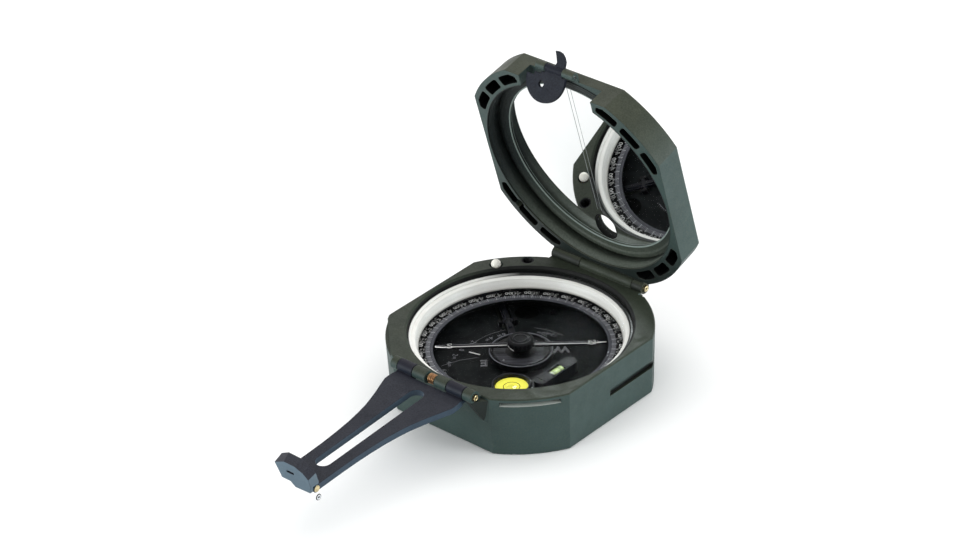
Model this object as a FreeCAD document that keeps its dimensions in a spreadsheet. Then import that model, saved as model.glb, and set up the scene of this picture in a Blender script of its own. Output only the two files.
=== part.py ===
import FreeCAD, Part
import Sketcher
import math
import os
from FreeCAD import Vector, Rotation, Placement

# Sighting compass (pocket transit). Millimetres, +Z up.
# Origin: needle axis at the underside of the case. The sight arm is at -Y, the
# lid hinge at +Y. The lid parts are drawn closed and then opened about the hinge.

doc = FreeCAD.newDocument("SightingCompass")
sheet = doc.addObject("Spreadsheet::Sheet", "dims")
sheet.Label = "dims"

# ---------------------------------------------------------------- dimensions
TABLE = [
    # case
    ("case_half", 35.0, "half width over flats at the top"),
    ("case_arc", 39.74, "radius of the four corner arcs at the top"),
    ("foot_half", 34.32, "half width over flats at the foot (2 degree draft)"),
    ("foot_arc", 39.06, "corner arc radius at the foot"),
    ("case_top", 19.43, "height of the case"),
    ("well_radius", 33.25, "bore above the azimuth ring"),
    ("ring_bore", 33.0, "bearing bore of the azimuth ring"),
    ("pit_radius", 31.0, "bore below the azimuth ring"),
    ("ledge_top", 11.5, "shoulder that carries the azimuth ring"),
    ("bezel_foot", 12.95, "underside of the white ring"),
    ("floor_top", 6.4, "floor of the pit"),
    ("recess_radius", 20.0, "recess for the thumb lever"),
    ("recess_depth", 3.2, "depth of that recess"),
    ("shaft_radius", 2.0, "clinometer shaft"),
    ("running_gap", 0.05, "radial clearance of running fits"),
    # lid
    ("lid_rim", 19.55, "rim plane, lid closed"),
    ("lid_top", 28.89, "outer face, lid closed"),
    ("lid_top_half", 34.67, "half width at the outer face"),
    ("lid_top_arc", 39.41, "corner arc radius at the outer face"),
    ("lid_bore", 33.8, "bore of the lid"),
    ("lid_seat", 27.0, "seat of the mirror"),
    ("mirror_face", 25.9, "reflecting face, lid closed"),
    ("mirror_radius", 33.6, "mirror"),
    ("hinge_y", 38.0, "lid hinge axis"),
    ("hinge_z", 19.94, "lid hinge axis"),
    ("hinge_radius", 1.9, "lid hinge barrel"),
    ("hinge_pin", 0.9, "lid hinge pin radius"),
    ("lid_open", 75.0, "opening angle of the lid as placed, degrees"),
    # front sight
    ("sight_y", -37.2, "front sight pin, lid closed"),
    ("sight_z", 24.4, "front sight pin, lid closed"),
    ("sight_x", -2.8, "middle of the front sight"),
    ("sight_tilt", 40.0, "tilt of the leaf from the mirror plane, degrees"),
    ("sight_disc", 7.0, "radius of the leaf's disc"),
    ("disc_x", -5.1, "middle of the leaf's disc"),
    ("sight_reach", 3.4, "pin to disc centre"),
    ("sight_thick", 0.9, "thickness of the leaf"),
    # sight arm
    ("arm_y", -37.6, "arm hinge axis"),
    ("arm_z", 20.0, "arm hinge axis"),
    ("arm_barrel", 1.95, "arm hinge barrel radius"),
    ("arm_pin", 0.8, "arm hinge pin radius"),
    ("arm_droop", 3.07, "slope of the arm as placed, degrees"),
    ("plate_low", -2.72, "underside of the arm plate below its hinge axis"),
    ("plate_thick", 1.9, "thickness of the arm plate"),
    ("slot_half", 2.48, "half width of the arm's slot"),
    ("peep_reach", 55.95, "hinge axis to peep pin"),
    ("peep_drop", 1.77, "peep pin below the hinge axis"),
    ("peep_lean", -3.07, "lean of the peep leaf beyond square to the arm, degrees"),
    ("peep_front", 2.6, "outer face of the peep leaf ahead of its pin"),
    ("peep_back", 0.6, "inner face of the peep leaf behind its pin"),
    # dial and levels
    ("dial_inner", 25.9, "inner radius of the azimuth ring"),
    ("dial_outer", 32.95, "outer radius of the azimuth ring"),
    ("dial_top", 12.45, "top of the graduated band"),
    ("glass_low", 15.5, "underside of the window"),
    ("glass_thick", 0.8, "thickness of the window"),
    ("needle_low", 12.55, "underside of the needle"),
    ("needle_reach", 25.3, "needle half length"),
    ("needle_angle", 40.6, "needle bearing as placed, degrees from +X"),
    ("cap_radius", 3.95, "needle cap"),
    ("bull_x", 10.75, "circular level"),
    ("bull_y", -16.55, "circular level"),
    ("bull_radius", 5.9, "circular level cup radius"),
    ("tube_x", 16.4, "tubular level axis"),
    ("tube_z", 10.6, "tubular level axis"),
    ("vial_radius", 1.6, "vial"),
    # needle lift
    ("pin_x", -28.4, "lift pin"),
    ("pin_y", 21.8, "lift pin"),
    ("ball_radius", 1.55, "ball end of the lift pin"),
    ("ball_z", 19.6, "centre of the ball end"),
    ("lever_r", 20.0, "lift lever pivot radius"),
    ("lever_z", 8.6, "lift lever pivot height"),
    # azimuth adjuster
    ("adj_angle", 221.0, "bearing of the adjuster, degrees from +X"),
    ("adj_z", 14.1, "adjuster axis"),
    ("pinion_radius", 1.2, "pinion pitch radius"),
    ("adj_head", 3.2, "adjuster head radius"),
]
for i, (name, value, note) in enumerate(TABLE, start=1):
    sheet.set("A%d" % i, name)
    sheet.set("B%d" % i, repr(value))
    sheet.set("C%d" % i, note)
    sheet.setAlias("B%d" % i, name)
doc.recompute()


class Q:
    """A number together with the sheet expression that gives it."""

    def __init__(self, v, e):
        self.v, self.e = float(v), e

    def _o(self, o):
        return o if isinstance(o, Q) else Q(o, repr(float(o)))

    def __add__(self, o):
        o = self._o(o)
        return Q(self.v + o.v, "(%s + %s)" % (self.e, o.e))

    __radd__ = __add__

    def __sub__(self, o):
        o = self._o(o)
        return Q(self.v - o.v, "(%s - %s)" % (self.e, o.e))

    def __rsub__(self, o):
        return self._o(o) - self

    def __mul__(self, o):
        o = self._o(o)
        return Q(self.v * o.v, "(%s * %s)" % (self.e, o.e))

    __rmul__ = __mul__

    def __neg__(self):
        return Q(-self.v, "(0 - %s)" % self.e)


class Dims:
    pass


S = Dims()
for name, value, note in TABLE:
    setattr(S, name, Q(value, "dims." + name))


def num(q):
    return q.v if isinstance(q, Q) else float(q)


def bind(o, prop, q):
    if isinstance(q, Q):
        o.setExpression(prop, q.e)
    elif prop.startswith("Placement.Base."):
        p = o.Placement
        b = p.Base
        setattr(b, prop[-1], float(q))
        o.Placement = Placement(b, p.Rotation)
    else:
        setattr(o, prop, float(q))


COUNT = [0]


def new(kind, tag="piece"):
    COUNT[0] += 1
    o = doc.addObject(kind, "%s_%03d" % (tag, COUNT[0]))
    return o


AXES = {
    "z": Rotation(),
    "x": Rotation(Vector(0, 1, 0), 90),
    "y": Rotation(Vector(1, 0, 0), -90),
}


def place(o, x, y, z, rot=None):
    o.Placement = Placement(Vector(num(x), num(y), num(z)), rot or Rotation())
    for k, q in (("x", x), ("y", y), ("z", z)):
        if isinstance(q, Q):
            bind(o, "Placement.Base." + k, q)
    return o


def cyl(r, length, x=0, y=0, z=0, axis="z", rot=None, angle=360, tag="cyl"):
    o = new("Part::Cylinder", tag)
    bind(o, "Radius", r)
    bind(o, "Height", length)
    o.Angle = angle
    return place(o, x, y, z, rot or AXES[axis])


def cone(r1, r2, length, x=0, y=0, z=0, axis="z", rot=None, tag="cone"):
    o = new("Part::Cone", tag)
    bind(o, "Radius1", r1)
    bind(o, "Radius2", r2)
    bind(o, "Height", length)
    return place(o, x, y, z, rot or AXES[axis])


def box(x0, x1, y0, y1, z0, z1, tag="box"):
    o = new("Part::Box", tag)
    bind(o, "Length", x1 - x0)
    bind(o, "Width", y1 - y0)
    bind(o, "Height", z1 - z0)
    return place(o, x0, y0, z0)


def ball(r, x, y, z, tag="ball"):
    o = new("Part::Sphere", tag)
    bind(o, "Radius", r)
    return place(o, x, y, z)


def fuse(*objs, tag="fuse"):
    if len(objs) == 1:
        return objs[0]
    o = new("Part::MultiFuse", tag)
    o.Shapes = list(objs)
    o.Refine = True
    return o


def fuse_one(obj):
    o = new("Part::Compound", "held")
    o.Links = [obj]
    return o


def cut(base, *tools, tag="cut"):
    o = new("Part::Cut", tag)
    o.Base = base
    o.Tool = fuse(*tools, tag=tag + "_tools")
    o.Refine = True
    return o


def common(a, b, tag="common"):
    o = new("Part::Common", tag)
    o.Base = a
    o.Tool = b
    return o


def wedge(x0, x1, z0, low_half, z1, high_half, tag="taper"):
    """A square block whose half width changes from low_half to high_half along Z."""
    o = new("Part::Wedge", tag)
    o.setExpression("Ymin", num0(z0))
    o.setExpression("Ymax", num0(z1))
    for k, q in (("Xmin", -low_half), ("Zmin", -low_half), ("Xmax", low_half), ("Zmax", low_half), ("X2min", -high_half), ("Z2min", -high_half), ("X2max", high_half), ("Z2max", high_half)):
        bind(o, k, q)
    o.Placement = Placement(Vector(0, 0, 0), Rotation(Vector(1, 0, 0), 90))
    return o


def num0(q):
    return q.e if isinstance(q, Q) else repr(float(q))


def soften(obj, pick, r, tag="soft"):
    """Rounds the edges of obj that pick accepts."""
    doc.recompute()
    ids = [i for i, e in enumerate(obj.Shape.Edges, start=1) if pick(e)]
    o = new("Part::Fillet", tag)
    o.Base = obj
    o.Edges = [(i, r, r) for i in ids]
    return o


def chamfer(obj, pick, r, tag="chamfer"):
    doc.recompute()
    ids = [i for i, e in enumerate(obj.Shape.Edges, start=1) if pick(e)]
    o = new("Part::Chamfer", tag)
    o.Base = obj
    o.Edges = [(i, r, r) for i in ids]
    return o


def flat_at(z, tol=0.02):
    return lambda e: e.BoundBox.ZMax - e.BoundBox.ZMin < tol and abs(e.BoundBox.ZMin - z) < tol


def upright(e):
    return e.BoundBox.ZLength > 5


def origin_plane(body, role):
    for f in body.Origin.OriginFeatures:
        if f.Role == role:
            return f
    raise RuntimeError("no plane " + role)


def sketch_poly(body, name, role, pts, offset=0.0):
    """A closed outline in an origin plane; each coordinate given as a Q is held by a
    distance bound to the sheet."""
    sk = body.newObject("Sketcher::SketchObject", name)
    sk.AttachmentSupport = [(origin_plane(body, role), "")]
    sk.MapMode = "FlatFace"
    if isinstance(offset, Q):
        sk.setExpression("AttachmentOffset.Base.z", offset.e)
        sk.AttachmentOffset = Placement(Vector(0, 0, offset.v), Rotation())
    elif offset:
        sk.AttachmentOffset = Placement(Vector(0, 0, offset), Rotation())
    n = len(pts)
    P = [Vector(num(a), num(b), 0) for a, b in pts]
    for i in range(n):
        sk.addGeometry(Part.LineSegment(P[i], P[(i + 1) % n]), False)
    for i in range(n):
        sk.addConstraint(Sketcher.Constraint("Coincident", i, 2, (i + 1) % n, 1))
    for i, (a, b) in enumerate(pts):
        for kind, q, axis in (("DistanceX", a, -2), ("DistanceY", b, -1)):
            if abs(num(q)) < 1e-9:
                sk.addConstraint(Sketcher.Constraint("PointOnObject", i, 1, axis))
            else:
                k = sk.addConstraint(Sketcher.Constraint(kind, -1, 1, i, 1, num(q)))
                if isinstance(q, Q):
                    sk.setExpression("Constraints[%d]" % k, q.e)
    return sk


def turned(label, pts):
    """A body of revolution about Z: pts are (radius, height)."""
    b = doc.addObject("PartDesign::Body", label + "_body")
    sk = sketch_poly(b, label + "_profile", "XZ_Plane", pts)
    r = b.newObject("PartDesign::Revolution", label + "_turn")
    r.Profile = sk
    r.ReferenceAxis = (sk, ["V_Axis"])
    r.Angle = 360
    sk.Visibility = False
    return b


def slab(label, pts, z0, thick):
    """A flat plate: outline pts in XY, from z0 upwards."""
    b = doc.addObject("PartDesign::Body", label + "_body")
    sk = sketch_poly(b, label + "_outline", "XY_Plane", pts, z0)
    p = b.newObject("PartDesign::Pad", label + "_pad")
    p.Profile = sk
    bind(p, "Length", thick)
    return b


NODES = {}


def node(name, obj):
    obj.Label = name
    NODES[name] = obj
    return obj


def about_x(obj, y, z, angle_expr):
    """Places obj turned about an axis along X through (y, z); angle in degrees."""
    if not obj.Placement.isIdentity():
        held = new("Part::Compound", "turned")
        held.Links = [obj]
        obj = held
    a = "(%s) * 1 deg" % angle_expr
    obj.Placement = Placement(Vector(0, 0, 0), Rotation(Vector(1, 0, 0), 1.0))
    obj.setExpression("Placement.Rotation.Angle", a)
    obj.setExpression("Placement.Base.y", "%s - (%s * cos(%s) - %s * sin(%s))" % (y.e, y.e, a, z.e, a))
    obj.setExpression("Placement.Base.z", "%s - (%s * sin(%s) + %s * cos(%s))" % (z.e, y.e, a, z.e, a))
    return obj


def lid_node(name, obj):
    return node(name, about_x(obj, S.hinge_y, S.hinge_z, "0 - dims.lid_open"))


def arm_node(name, obj):
    return node(name, about_x(obj, S.arm_y, S.arm_z, "dims.arm_droop"))


def polar(r, deg):
    return r * math.cos(math.radians(deg)), r * math.sin(math.radians(deg))


G = S.running_gap

# ---------------------------------------------------------------- case body
block = common(
    wedge(None, None, 0, S.foot_half, S.case_top, S.case_half, tag="case_taper"),
    cone(S.foot_arc, S.case_arc, S.case_top, tag="case_round"),
    tag="case_block",
)
block = soften(block, lambda e: upright(e) or flat_at(0)(e), 0.7, tag="case_soft")
block = chamfer(block, flat_at(num(S.case_top)), 0.35, tag="case_edge")

LUGS = [(-15.3, -12.95), (-6.9, -2.1), (1.5, 5.9), (12.35, 15.5)]  # arm hinge lugs of the case
adds = []
for x0, x1 in LUGS:
    adds.append(cyl(S.arm_barrel, x1 - x0, x0, S.arm_y, S.arm_z, "x", tag="lug"))
    adds.append(box(x0, x1, S.arm_y, -34.0, S.arm_z - S.arm_barrel + 0.02, S.case_top, tag="lug_foot"))
# the web under the right lug, narrowing to a point down the wall
web = new("Part::Loft", "web")
w_hi = new("Part::Polygon", "web_top")
w_hi.Nodes = [Vector(12.35, -34.2, 18.6), Vector(12.35, -38.6, 18.6), Vector(14.6, -38.9, 18.6), Vector(18.4, -35.1, 18.6), Vector(18.4, -34.2, 18.6)]
w_hi.Close = True
w_lo = new("Part::Polygon", "web_point")
w_lo.Nodes = [Vector(15.6, -34.2, 10.4), Vector(15.6, -34.75, 10.4), Vector(16.4, -34.8, 10.4), Vector(17.4, -34.7, 10.4), Vector(17.4, -34.2, 10.4)]
w_lo.Close = True
web.Sections = [w_hi, w_lo]
web.Solid = True
web.Ruled = True
adds.append(web)
# lid hinge barrel of the case
adds.append(cyl(S.hinge_radius, 19.9, -7.5, S.hinge_y, S.hinge_z, "x", tag="barrel"))
adds.append(box(-7.5, 12.4, 34.0, S.hinge_y, S.hinge_z - S.hinge_radius + 0.02, S.case_top, tag="barrel_foot"))
# hollowed lands either side of the barrel, close under the lid's knuckles
for x0, x1 in ((-18.4, -7.5), (12.4, 16.4)):
    adds.append(cut(box(x0, x1, 34.0, 36.9, 17.3, S.case_top, tag="land"), cyl(2.07, x1 - x0 + 2, x0 - 1, S.hinge_y, S.hinge_z, "x", tag="land_hollow"), tag="land_cut"))

cuts = [
    cyl(S.well_radius, 8.0, 0, 0, S.bezel_foot - 0.05, tag="well"),
    cone(33.25, 34.9, 1.65, 0, 0, S.case_top - 0.65, tag="well_edge"),
    cyl(S.ring_bore, 1.6, 0, 0, S.ledge_top, tag="ring_seat"),
    cyl(S.pit_radius, S.ledge_top - S.floor_top + 0.5, 0, 0, S.floor_top, tag="pit"),
    cyl(S.recess_radius, S.recess_depth + 1, 0, 0, -1, tag="lever_recess"),
    cyl(S.shaft_radius + G, 6, 0, 0, 2, tag="shaft_hole"),
    cyl(S.arm_pin + G, 40, -20, S.arm_y, S.arm_z, "x", tag="arm_pin_hole"),
    cyl(S.hinge_pin + G, 50, -25, S.hinge_y, S.hinge_z, "x", tag="lid_pin_hole"),
    cyl(2.1, 5, S.pin_x, S.pin_y, 16.4, tag="pin_counterbore"),
    cyl(0.9 + G, 12, S.pin_x, S.pin_y, 6.0, tag="pin_guide"),
    cyl(1.95, 5, -22.5, 29.6, 16.0, tag="socket_seat"),
]
# lift lever channel through the wall, towards the pin
chan = new("Part::Box", "lever_channel")
chan.Length, chan.Width, chan.Height = 12.0, 3.8, 3.2
lever_deg = math.degrees(math.atan2(21.8, -28.4))
cx, cy = polar(26.0, lever_deg)
off = Rotation(Vector(0, 0, 1), lever_deg).multVec(Vector(0, -1.9, 0))
chan.Placement = Placement(Vector(cx, cy, 6.4) + off, Rotation(Vector(0, 0, 1), lever_deg))
cuts.append(chan)
# adjuster bore and head seat
adj_rot = Rotation(Vector(0, 0, 1), 221.0).multiply(Rotation(Vector(0, 1, 0), 90))
ax, ay = polar(30.0, 221.0)
cuts.append(cyl(1.0 + G, 12, ax, ay, S.adj_z, rot=adj_rot, tag="adjuster_bore"))
ax, ay = polar(37.6, 221.0)
cuts.append(cyl(S.adj_head + 0.15, 4, ax, ay, S.adj_z, rot=adj_rot, tag="adjuster_seat"))
# flat across the top of that corner, leaving a crescent ledge over the adjuster
flat = new("Part::Box", "corner_flat")
flat.Length, flat.Width, flat.Height = 4.0, 26.0, 3.0
flat.Placement = Placement(Vector(*polar(38.5, 225.5), 18.0) + Rotation(Vector(0, 0, 1), 225.5).multVec(Vector(0, -13.0, 0)), Rotation(Vector(0, 0, 1), 225.5))
cuts.append(flat)
# bracket slots on both side flats: they start at the middle and deepen slightly towards
# the back, with a square lower edge and a sloping upper one
for sgn in (1, -1):
    ends = []
    for y, depth in ((-0.6, 1.0), (26.0, 1.7)):
        wall_low = 34.64 - depth
        w = new("Part::Polygon", "slot_end")
        w.Nodes = [Vector(sgn * wall_low, y, 8.9), Vector(sgn * 34.72, y, 11.6), Vector(sgn * 37.5, y, 11.6), Vector(sgn * 37.5, y, 8.9)]
        w.Close = True
        ends.append(w)
    sl = new("Part::Loft", "bracket_slot")
    sl.Sections = ends
    sl.Solid = True
    sl.Ruled = True
    cuts.append(sl)
# finger groove below the top edge on the front right corner
g_out = cyl(45, 1.3, 0, 0, 17.0, angle=25.8, rot=Rotation(Vector(0, 0, 1), -57.8), tag="groove_outer")
g_in = cyl(S.case_arc - 2.2, 3, 0, 0, 16.5, tag="groove_inner")
cuts.append(cut(g_out, g_in, tag="groove"))
case_body = cut(fuse(block, *adds, tag="case_solid"), *cuts, tag="case_cut")
node("case_body", case_body)

# ---------------------------------------------------------------- dial window
white = turned(
    "white_ring",
    [
        (30.15, S.bezel_foot),
        (33.15, S.bezel_foot),
        (33.15, S.glass_low - 0.05),
        (31.35, S.glass_low - 0.05),
        (30.45, 14.3),
        (30.15, 13.7),
    ],
)
notch = new("Part::Box", "ring_notch")
notch.Length, notch.Width, notch.Height = 6.0, 3.4, 4.0
nx, ny = polar(31.05, 221.0)
noff = Rotation(Vector(0, 0, 1), 221.0).multVec(Vector(0, -1.7, 0))
notch.Placement = Placement(Vector(nx, ny, 12.0) + noff, Rotation(Vector(0, 0, 1), 221.0))
node("white_ring", cut(white, notch, tag="white_cut"))
node("window_glass", cyl(32.9, S.glass_thick, 0, 0, S.glass_low, tag="glass"))
gl = S.glass_low + S.glass_thick
node(
    "glass_gasket",
    turned(
        "glass_gasket",
        [(30.95, gl + 0.02), (33.15, gl + 0.02), (33.15, gl + 0.65), (31.9, gl + 0.65), (31.2, gl + 0.5), (30.95, gl + 0.2)],
    ),
)
node(
    "retaining_ring",
    turned("retaining_ring", [(32.2, gl + 0.7), (33.2, gl + 0.7), (33.2, gl + 1.35), (32.6, gl + 1.35), (32.2, gl + 1.05)]),
)

# ---------------------------------------------------------------- floor plate
plate = cyl(30.9, 1.2, 0, 0, S.floor_top, tag="plate")
lever_slot = new("Part::Box", "lever_slot")
lever_slot.Length, lever_slot.Width, lever_slot.Height = 14.0, 3.8, 3.0
lx, ly = polar(18.6, lever_deg)
loff = Rotation(Vector(0, 0, 1), lever_deg).multVec(Vector(0, -1.9, 0))
lever_slot.Placement = Placement(Vector(lx, ly, 5.5) + loff, Rotation(Vector(0, 0, 1), lever_deg))
screw_at = [polar(27.6, a) for a in (20, 110, 200, 290)]
node(
    "floor_plate",
    cut(
        plate,
        cyl(2.4, 4, 0, 0, 5, tag="plate_hole"),
        cyl(3.8, 0.7, -15.9, 21.0, S.floor_top + 0.7, tag="plate_dish"),
        lever_slot,
        *[cyl(1.5, 1.0, x, y, S.floor_top + 0.8, tag="screw_dish") for x, y in screw_at],
        tag="plate_cut",
    ),
)
node(
    "floor_screws",
    fuse(*[cut(cyl(1.4, 0.55, x, y, S.floor_top + 0.82, tag="screw"), box(x - 1.3, x + 1.3, y - 0.2, y + 0.2, S.floor_top + 1.15, S.floor_top + 2.0, tag="screw_slot"), tag="screw_cut") for x, y in screw_at], tag="screws"),
)

# ---------------------------------------------------------------- azimuth ring and adjuster
node(
    "azimuth_ring",
    turned(
        "azimuth_ring",
        [
            (S.dial_inner, S.ledge_top + 0.1),
            (S.dial_outer, S.ledge_top + 0.1),
            (S.dial_outer, 12.85),
            (31.2, 12.85),
            (31.0, S.dial_top),
            (28.2, S.dial_top),
            (28.15, S.dial_top - 0.08),
            (S.dial_inner, S.dial_top - 0.08),
        ],
    ),
)
hx, hy = polar(37.85, 221.0)
sx, sy = polar(33.0, 221.0)
px_, py_ = polar(31.35, 221.0)
adj_slot = new("Part::Box", "adjuster_slot")
adj_slot.Length, adj_slot.Width, adj_slot.Height = 1.0, 0.9, 10.0
adj_slot.Placement = Placement(Vector(*polar(38.55, 221.0), 9.1) + Rotation(Vector(0, 0, 1), 221.0).multVec(Vector(0, -0.45, 0)), Rotation(Vector(0, 0, 1), 221.0))
head = cyl(S.adj_head, 1.2, hx, hy, S.adj_z, rot=adj_rot, tag="adjuster_head")
node(
    "adjuster_screw",
    cut(
        fuse(
            head,
            cyl(1.0, 5.0, sx, sy, S.adj_z, rot=adj_rot, tag="adjuster_shaft"),
            cyl(S.pinion_radius, 1.65, px_, py_, S.adj_z, rot=adj_rot, tag="pinion"),
            tag="adjuster",
        ),
        adj_slot,
        tag="adjuster_cut",
    ),
)

# ---------------------------------------------------------------- needle
na = num(S.needle_angle)
nd = slab(
    "needle_bar",
    [(-S.needle_reach, 0.75), (-S.needle_reach, -0.75), (-3, -1.15), (3, -1.15), (19.5, -0.75), (S.needle_reach, -0.12), (S.needle_reach, 0.12), (19.5, 0.75), (3, 1.15), (-3, 1.15)],
    S.needle_low,
    0.4,
)
nd.Placement = Placement(Vector(0, 0, 0), Rotation(Vector(0, 0, 1), na))
node(
    "compass_needle",
    cut(fuse(nd, cyl(1.3, 0.4, *polar(-21.05, na - 0.8), S.needle_low, tag="letter_seat"), cyl(1.3, 0.4, *polar(21.0, na + 0.5), S.needle_low, tag="letter_seat"), cyl(3.0, 1.35, 0, 0, 11.6, tag="needle_hub"), tag="needle_solid"), cyl(1.3, 4, 0, 0, 11, tag="needle_bore"), tag="needle_cut"),
)
cap = chamfer(cyl(S.cap_radius, 2.1, 0, 0, S.needle_low + 0.4, tag="cap"), flat_at(15.05), 0.35, tag="cap_edge")
node("needle_cap", cut(cap, cyl(1.3, 1.45, 0, 0, S.needle_low + 0.3, tag="jewel_bore"), tag="cap_cut"))

# ---------------------------------------------------------------- clinometer
node(
    "clinometer_shaft",
    fuse(cyl(S.shaft_radius, 7.7, 0, 0, 1.2, tag="shaft"), cyl(3.4, 0.3, 0, 0, 7.68, tag="shaft_collar"), tag="shaft_solid"),
)
node(
    "level_bracket",
    cut(
        fuse(
            slab("bracket", [(-1.0, -5.9), (4.6, -15.0), (6.2, -20.0), (13.0, -20.8), (18.3, -11.6), (18.3, 4.2), (13.0, 4.2), (4.5, 4.2)], 8.0, 0.9),
            cyl(6.0, 0.9, 0, 0, 8.0, tag="bracket_eye"),
            tag="bracket_solid",
        ),
        cyl(S.shaft_radius + 0.02, 3, 0, 0, 7, tag="bracket_hole"),
        tag="bracket_cut",
    ),
)
node(
    "clinometer_hub",
    cut(cyl(9.5, 2.1, 0, 0, 8.92, tag="hub"), cyl(8.75, 1.0, 0, 0, 10.5, tag="hub_dish"), tag="hub_cut"),
)
node(
    "index_plate",
    cut(
        cyl(8.2, 0.35, 0, 0, 10.52, tag="index_disc"),
        box(-2.6, 2.6, 0, 9, 10, 12, tag="index_slot"),
        cyl(2.6, 3, 0, 0, 10, tag="index_eye"),
        box(-9, 9, 5.2, 9, 10, 12, tag="index_flat"),
        tag="index_cut",
    ),
)
node(
    "needle_pivot",
    fuse(cyl(0.9, 1.6, 0, 0, 10.52, tag="post"), cone(0.9, 0.08, 2.2, 0, 0, 12.12, tag="post_tip"), tag="post_solid"),
)
cup = cut(cyl(S.bull_radius, 2.95, S.bull_x, S.bull_y, 8.92, tag="cup"), cyl(5.1, 3, S.bull_x, S.bull_y, 9.6, tag="cup_bore"), tag="cup_cut")
node("circular_level_cup", soften(cup, lambda e: flat_at(11.87)(e) and e.BoundBox.XLength > 11, 0.3, tag="cup_soft"))
node("circular_level_dial", cyl(5.05, 1.25, S.bull_x, S.bull_y, 9.62, tag="bull_dial"))
lens = common(cyl(5.05, 1.2, S.bull_x, S.bull_y, 10.9, tag="lens"), ball(22.0, S.bull_x, S.bull_y, 11.75 - 22.0, tag="lens_dome"), tag="lens_cut")
node("circular_level_lens", lens)
th = fuse(
    box(S.tube_x - 2.15, S.tube_x + 2.15, -9.9, 2.75, 8.92, 12.15, tag="holder"),
    cyl(2.15, 3.23, S.tube_x, -9.9, 8.92, tag="holder_end"),
    cyl(2.15, 3.23, S.tube_x, 2.75, 8.92, tag="holder_end"),
    tag="holder_solid",
)
node(
    "tube_level_holder",
    cut(th, cyl(S.vial_radius + 0.03, 12.6, S.tube_x, -10.0, S.tube_z, "y", tag="vial_bore"), box(S.tube_x - 1.5, S.tube_x + 1.5, -5.7, -0.8, 10.9, 13, tag="holder_window"), tag="holder_cut"),
)
node("tube_level_vial", soften(cyl(S.vial_radius, 12.5, S.tube_x, -9.95, S.tube_z, "y", tag="vial"), lambda e: True, 0.5, tag="vial_soft"))
tl = fuse(
    slab("thumb", [(-3.4, -2.4), (3.0, -3.0), (11, -2.3), (16.4, -2.6), (18.2, -1.5), (18.2, 1.5), (16.4, 2.6), (11, 2.3), (3.0, 3.0), (-3.4, 2.4)], 1.22, 1.6),
    slab("thumb_tab", [(14.6, -2.2), (17.6, -1.4), (17.6, 1.4), (14.6, 2.2)], 0.45, 1.4),
    tag="thumb_solid",
)
node("thumb_lever", cut(tl, cyl(S.shaft_radius + 0.02, 4, 0, 0, 0, tag="thumb_hole"), tag="thumb_cut"))
node(
    "shaft_screw",
    cut(cyl(2.6, 0.75, 0, 0, 0.42, tag="nut"), box(-2.2, 2.2, -0.25, 0.25, 0.2, 0.75, tag="nut_slot"), tag="nut_cut"),
)

# ---------------------------------------------------------------- needle lift
node(
    "lift_pin",
    fuse(ball(S.ball_radius, S.pin_x, S.pin_y, S.ball_z, tag="pin_ball"), cyl(0.9, 10.2, S.pin_x, S.pin_y, 9.1, tag="pin_shank"), tag="pin_solid"),
)
node("lift_pin_bush", cut(cyl(2.05, 0.5, S.pin_x, S.pin_y, 16.42, tag="bush"), cyl(0.95, 2, S.pin_x, S.pin_y, 16, tag="bush_bore"), tag="bush_cut"))
hel = new("Part::Helix", "lift_coil")
hel.Pitch, hel.Height, hel.Radius = 0.42, 0.84, 1.3
hel.Placement = Placement(Vector(-28.4, 21.8, 17.1), Rotation())
ring = new("Part::Circle", "lift_wire")
ring.Radius = 0.13
ring.Placement = Placement(Vector(-28.4 + 1.3, 21.8, 17.1), Rotation(Vector(1, 0, 0), 90))
sw = new("Part::Sweep", "lift_spring_sweep")
sw.Sections = [ring]
sw.Spine = (hel, ["Edge1"])
sw.Solid = True
sw.Frenet = True
node("lift_spring", sw)

lever_rot = Rotation(Vector(0, 0, 1), lever_deg)


def radial_box(r0, r1, half, z0, z1, tag):
    b = new("Part::Box", tag)
    b.Length, b.Width, b.Height = r1 - r0, 2 * half, z1 - z0
    b.Placement = Placement(lever_rot.multVec(Vector(r0, -half, z0)), lever_rot)
    return b


pivot_rot = lever_rot.multiply(Rotation(Vector(1, 0, 0), -90))


def tangent_cyl(r, length, at_r, z, tag):
    c = new("Part::Cylinder", tag)
    c.Radius, c.Height = r, length
    c.Placement = Placement(lever_rot.multVec(Vector(at_r, -length / 2.0, z)), pivot_rot)
    return c


node(
    "lift_lever",
    cut(
        fuse(
            radial_box(10.9, 37.2, 1.0, 8.2, 9.0, "lever_bar"),
            radial_box(15.8, 25.8, 0.5, 8.2, 9.5, "lever_rib"),
            tangent_cyl(0.95, 3.0, 20.0, 8.6, "lever_eye"),
            tag="lever_solid",
        ),
        tangent_cyl(0.5, 6.0, 20.0, 8.6, "lever_hole"),
        tag="lever_cut",
    ),
)
posts = []
for s in (-1, 1):
    b = new("Part::Box", "pivot_post")
    b.Length, b.Width, b.Height = 1.8, 0.9, 1.7
    b.Placement = Placement(lever_rot.multVec(Vector(19.1, s * 2.4 - 0.45, 7.62)), lever_rot)
    posts.append(b)
pp = tangent_cyl(0.45, 5.6, 20.0, 8.6, "pivot_axle")
node("lever_pivot", fuse(pp, *posts, tag="pivot_frame"))
node("socket_insert", cut(cyl(1.9, 2.8, -22.5, 29.6, 16.5, tag="socket"), cone(1.0, 1.6, 1.2, -22.5, 29.6, 18.2, tag="socket_sink"), cyl(1.0, 2.5, -22.5, 29.6, 17.0, tag="socket_bore"), tag="socket_cut"))

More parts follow.
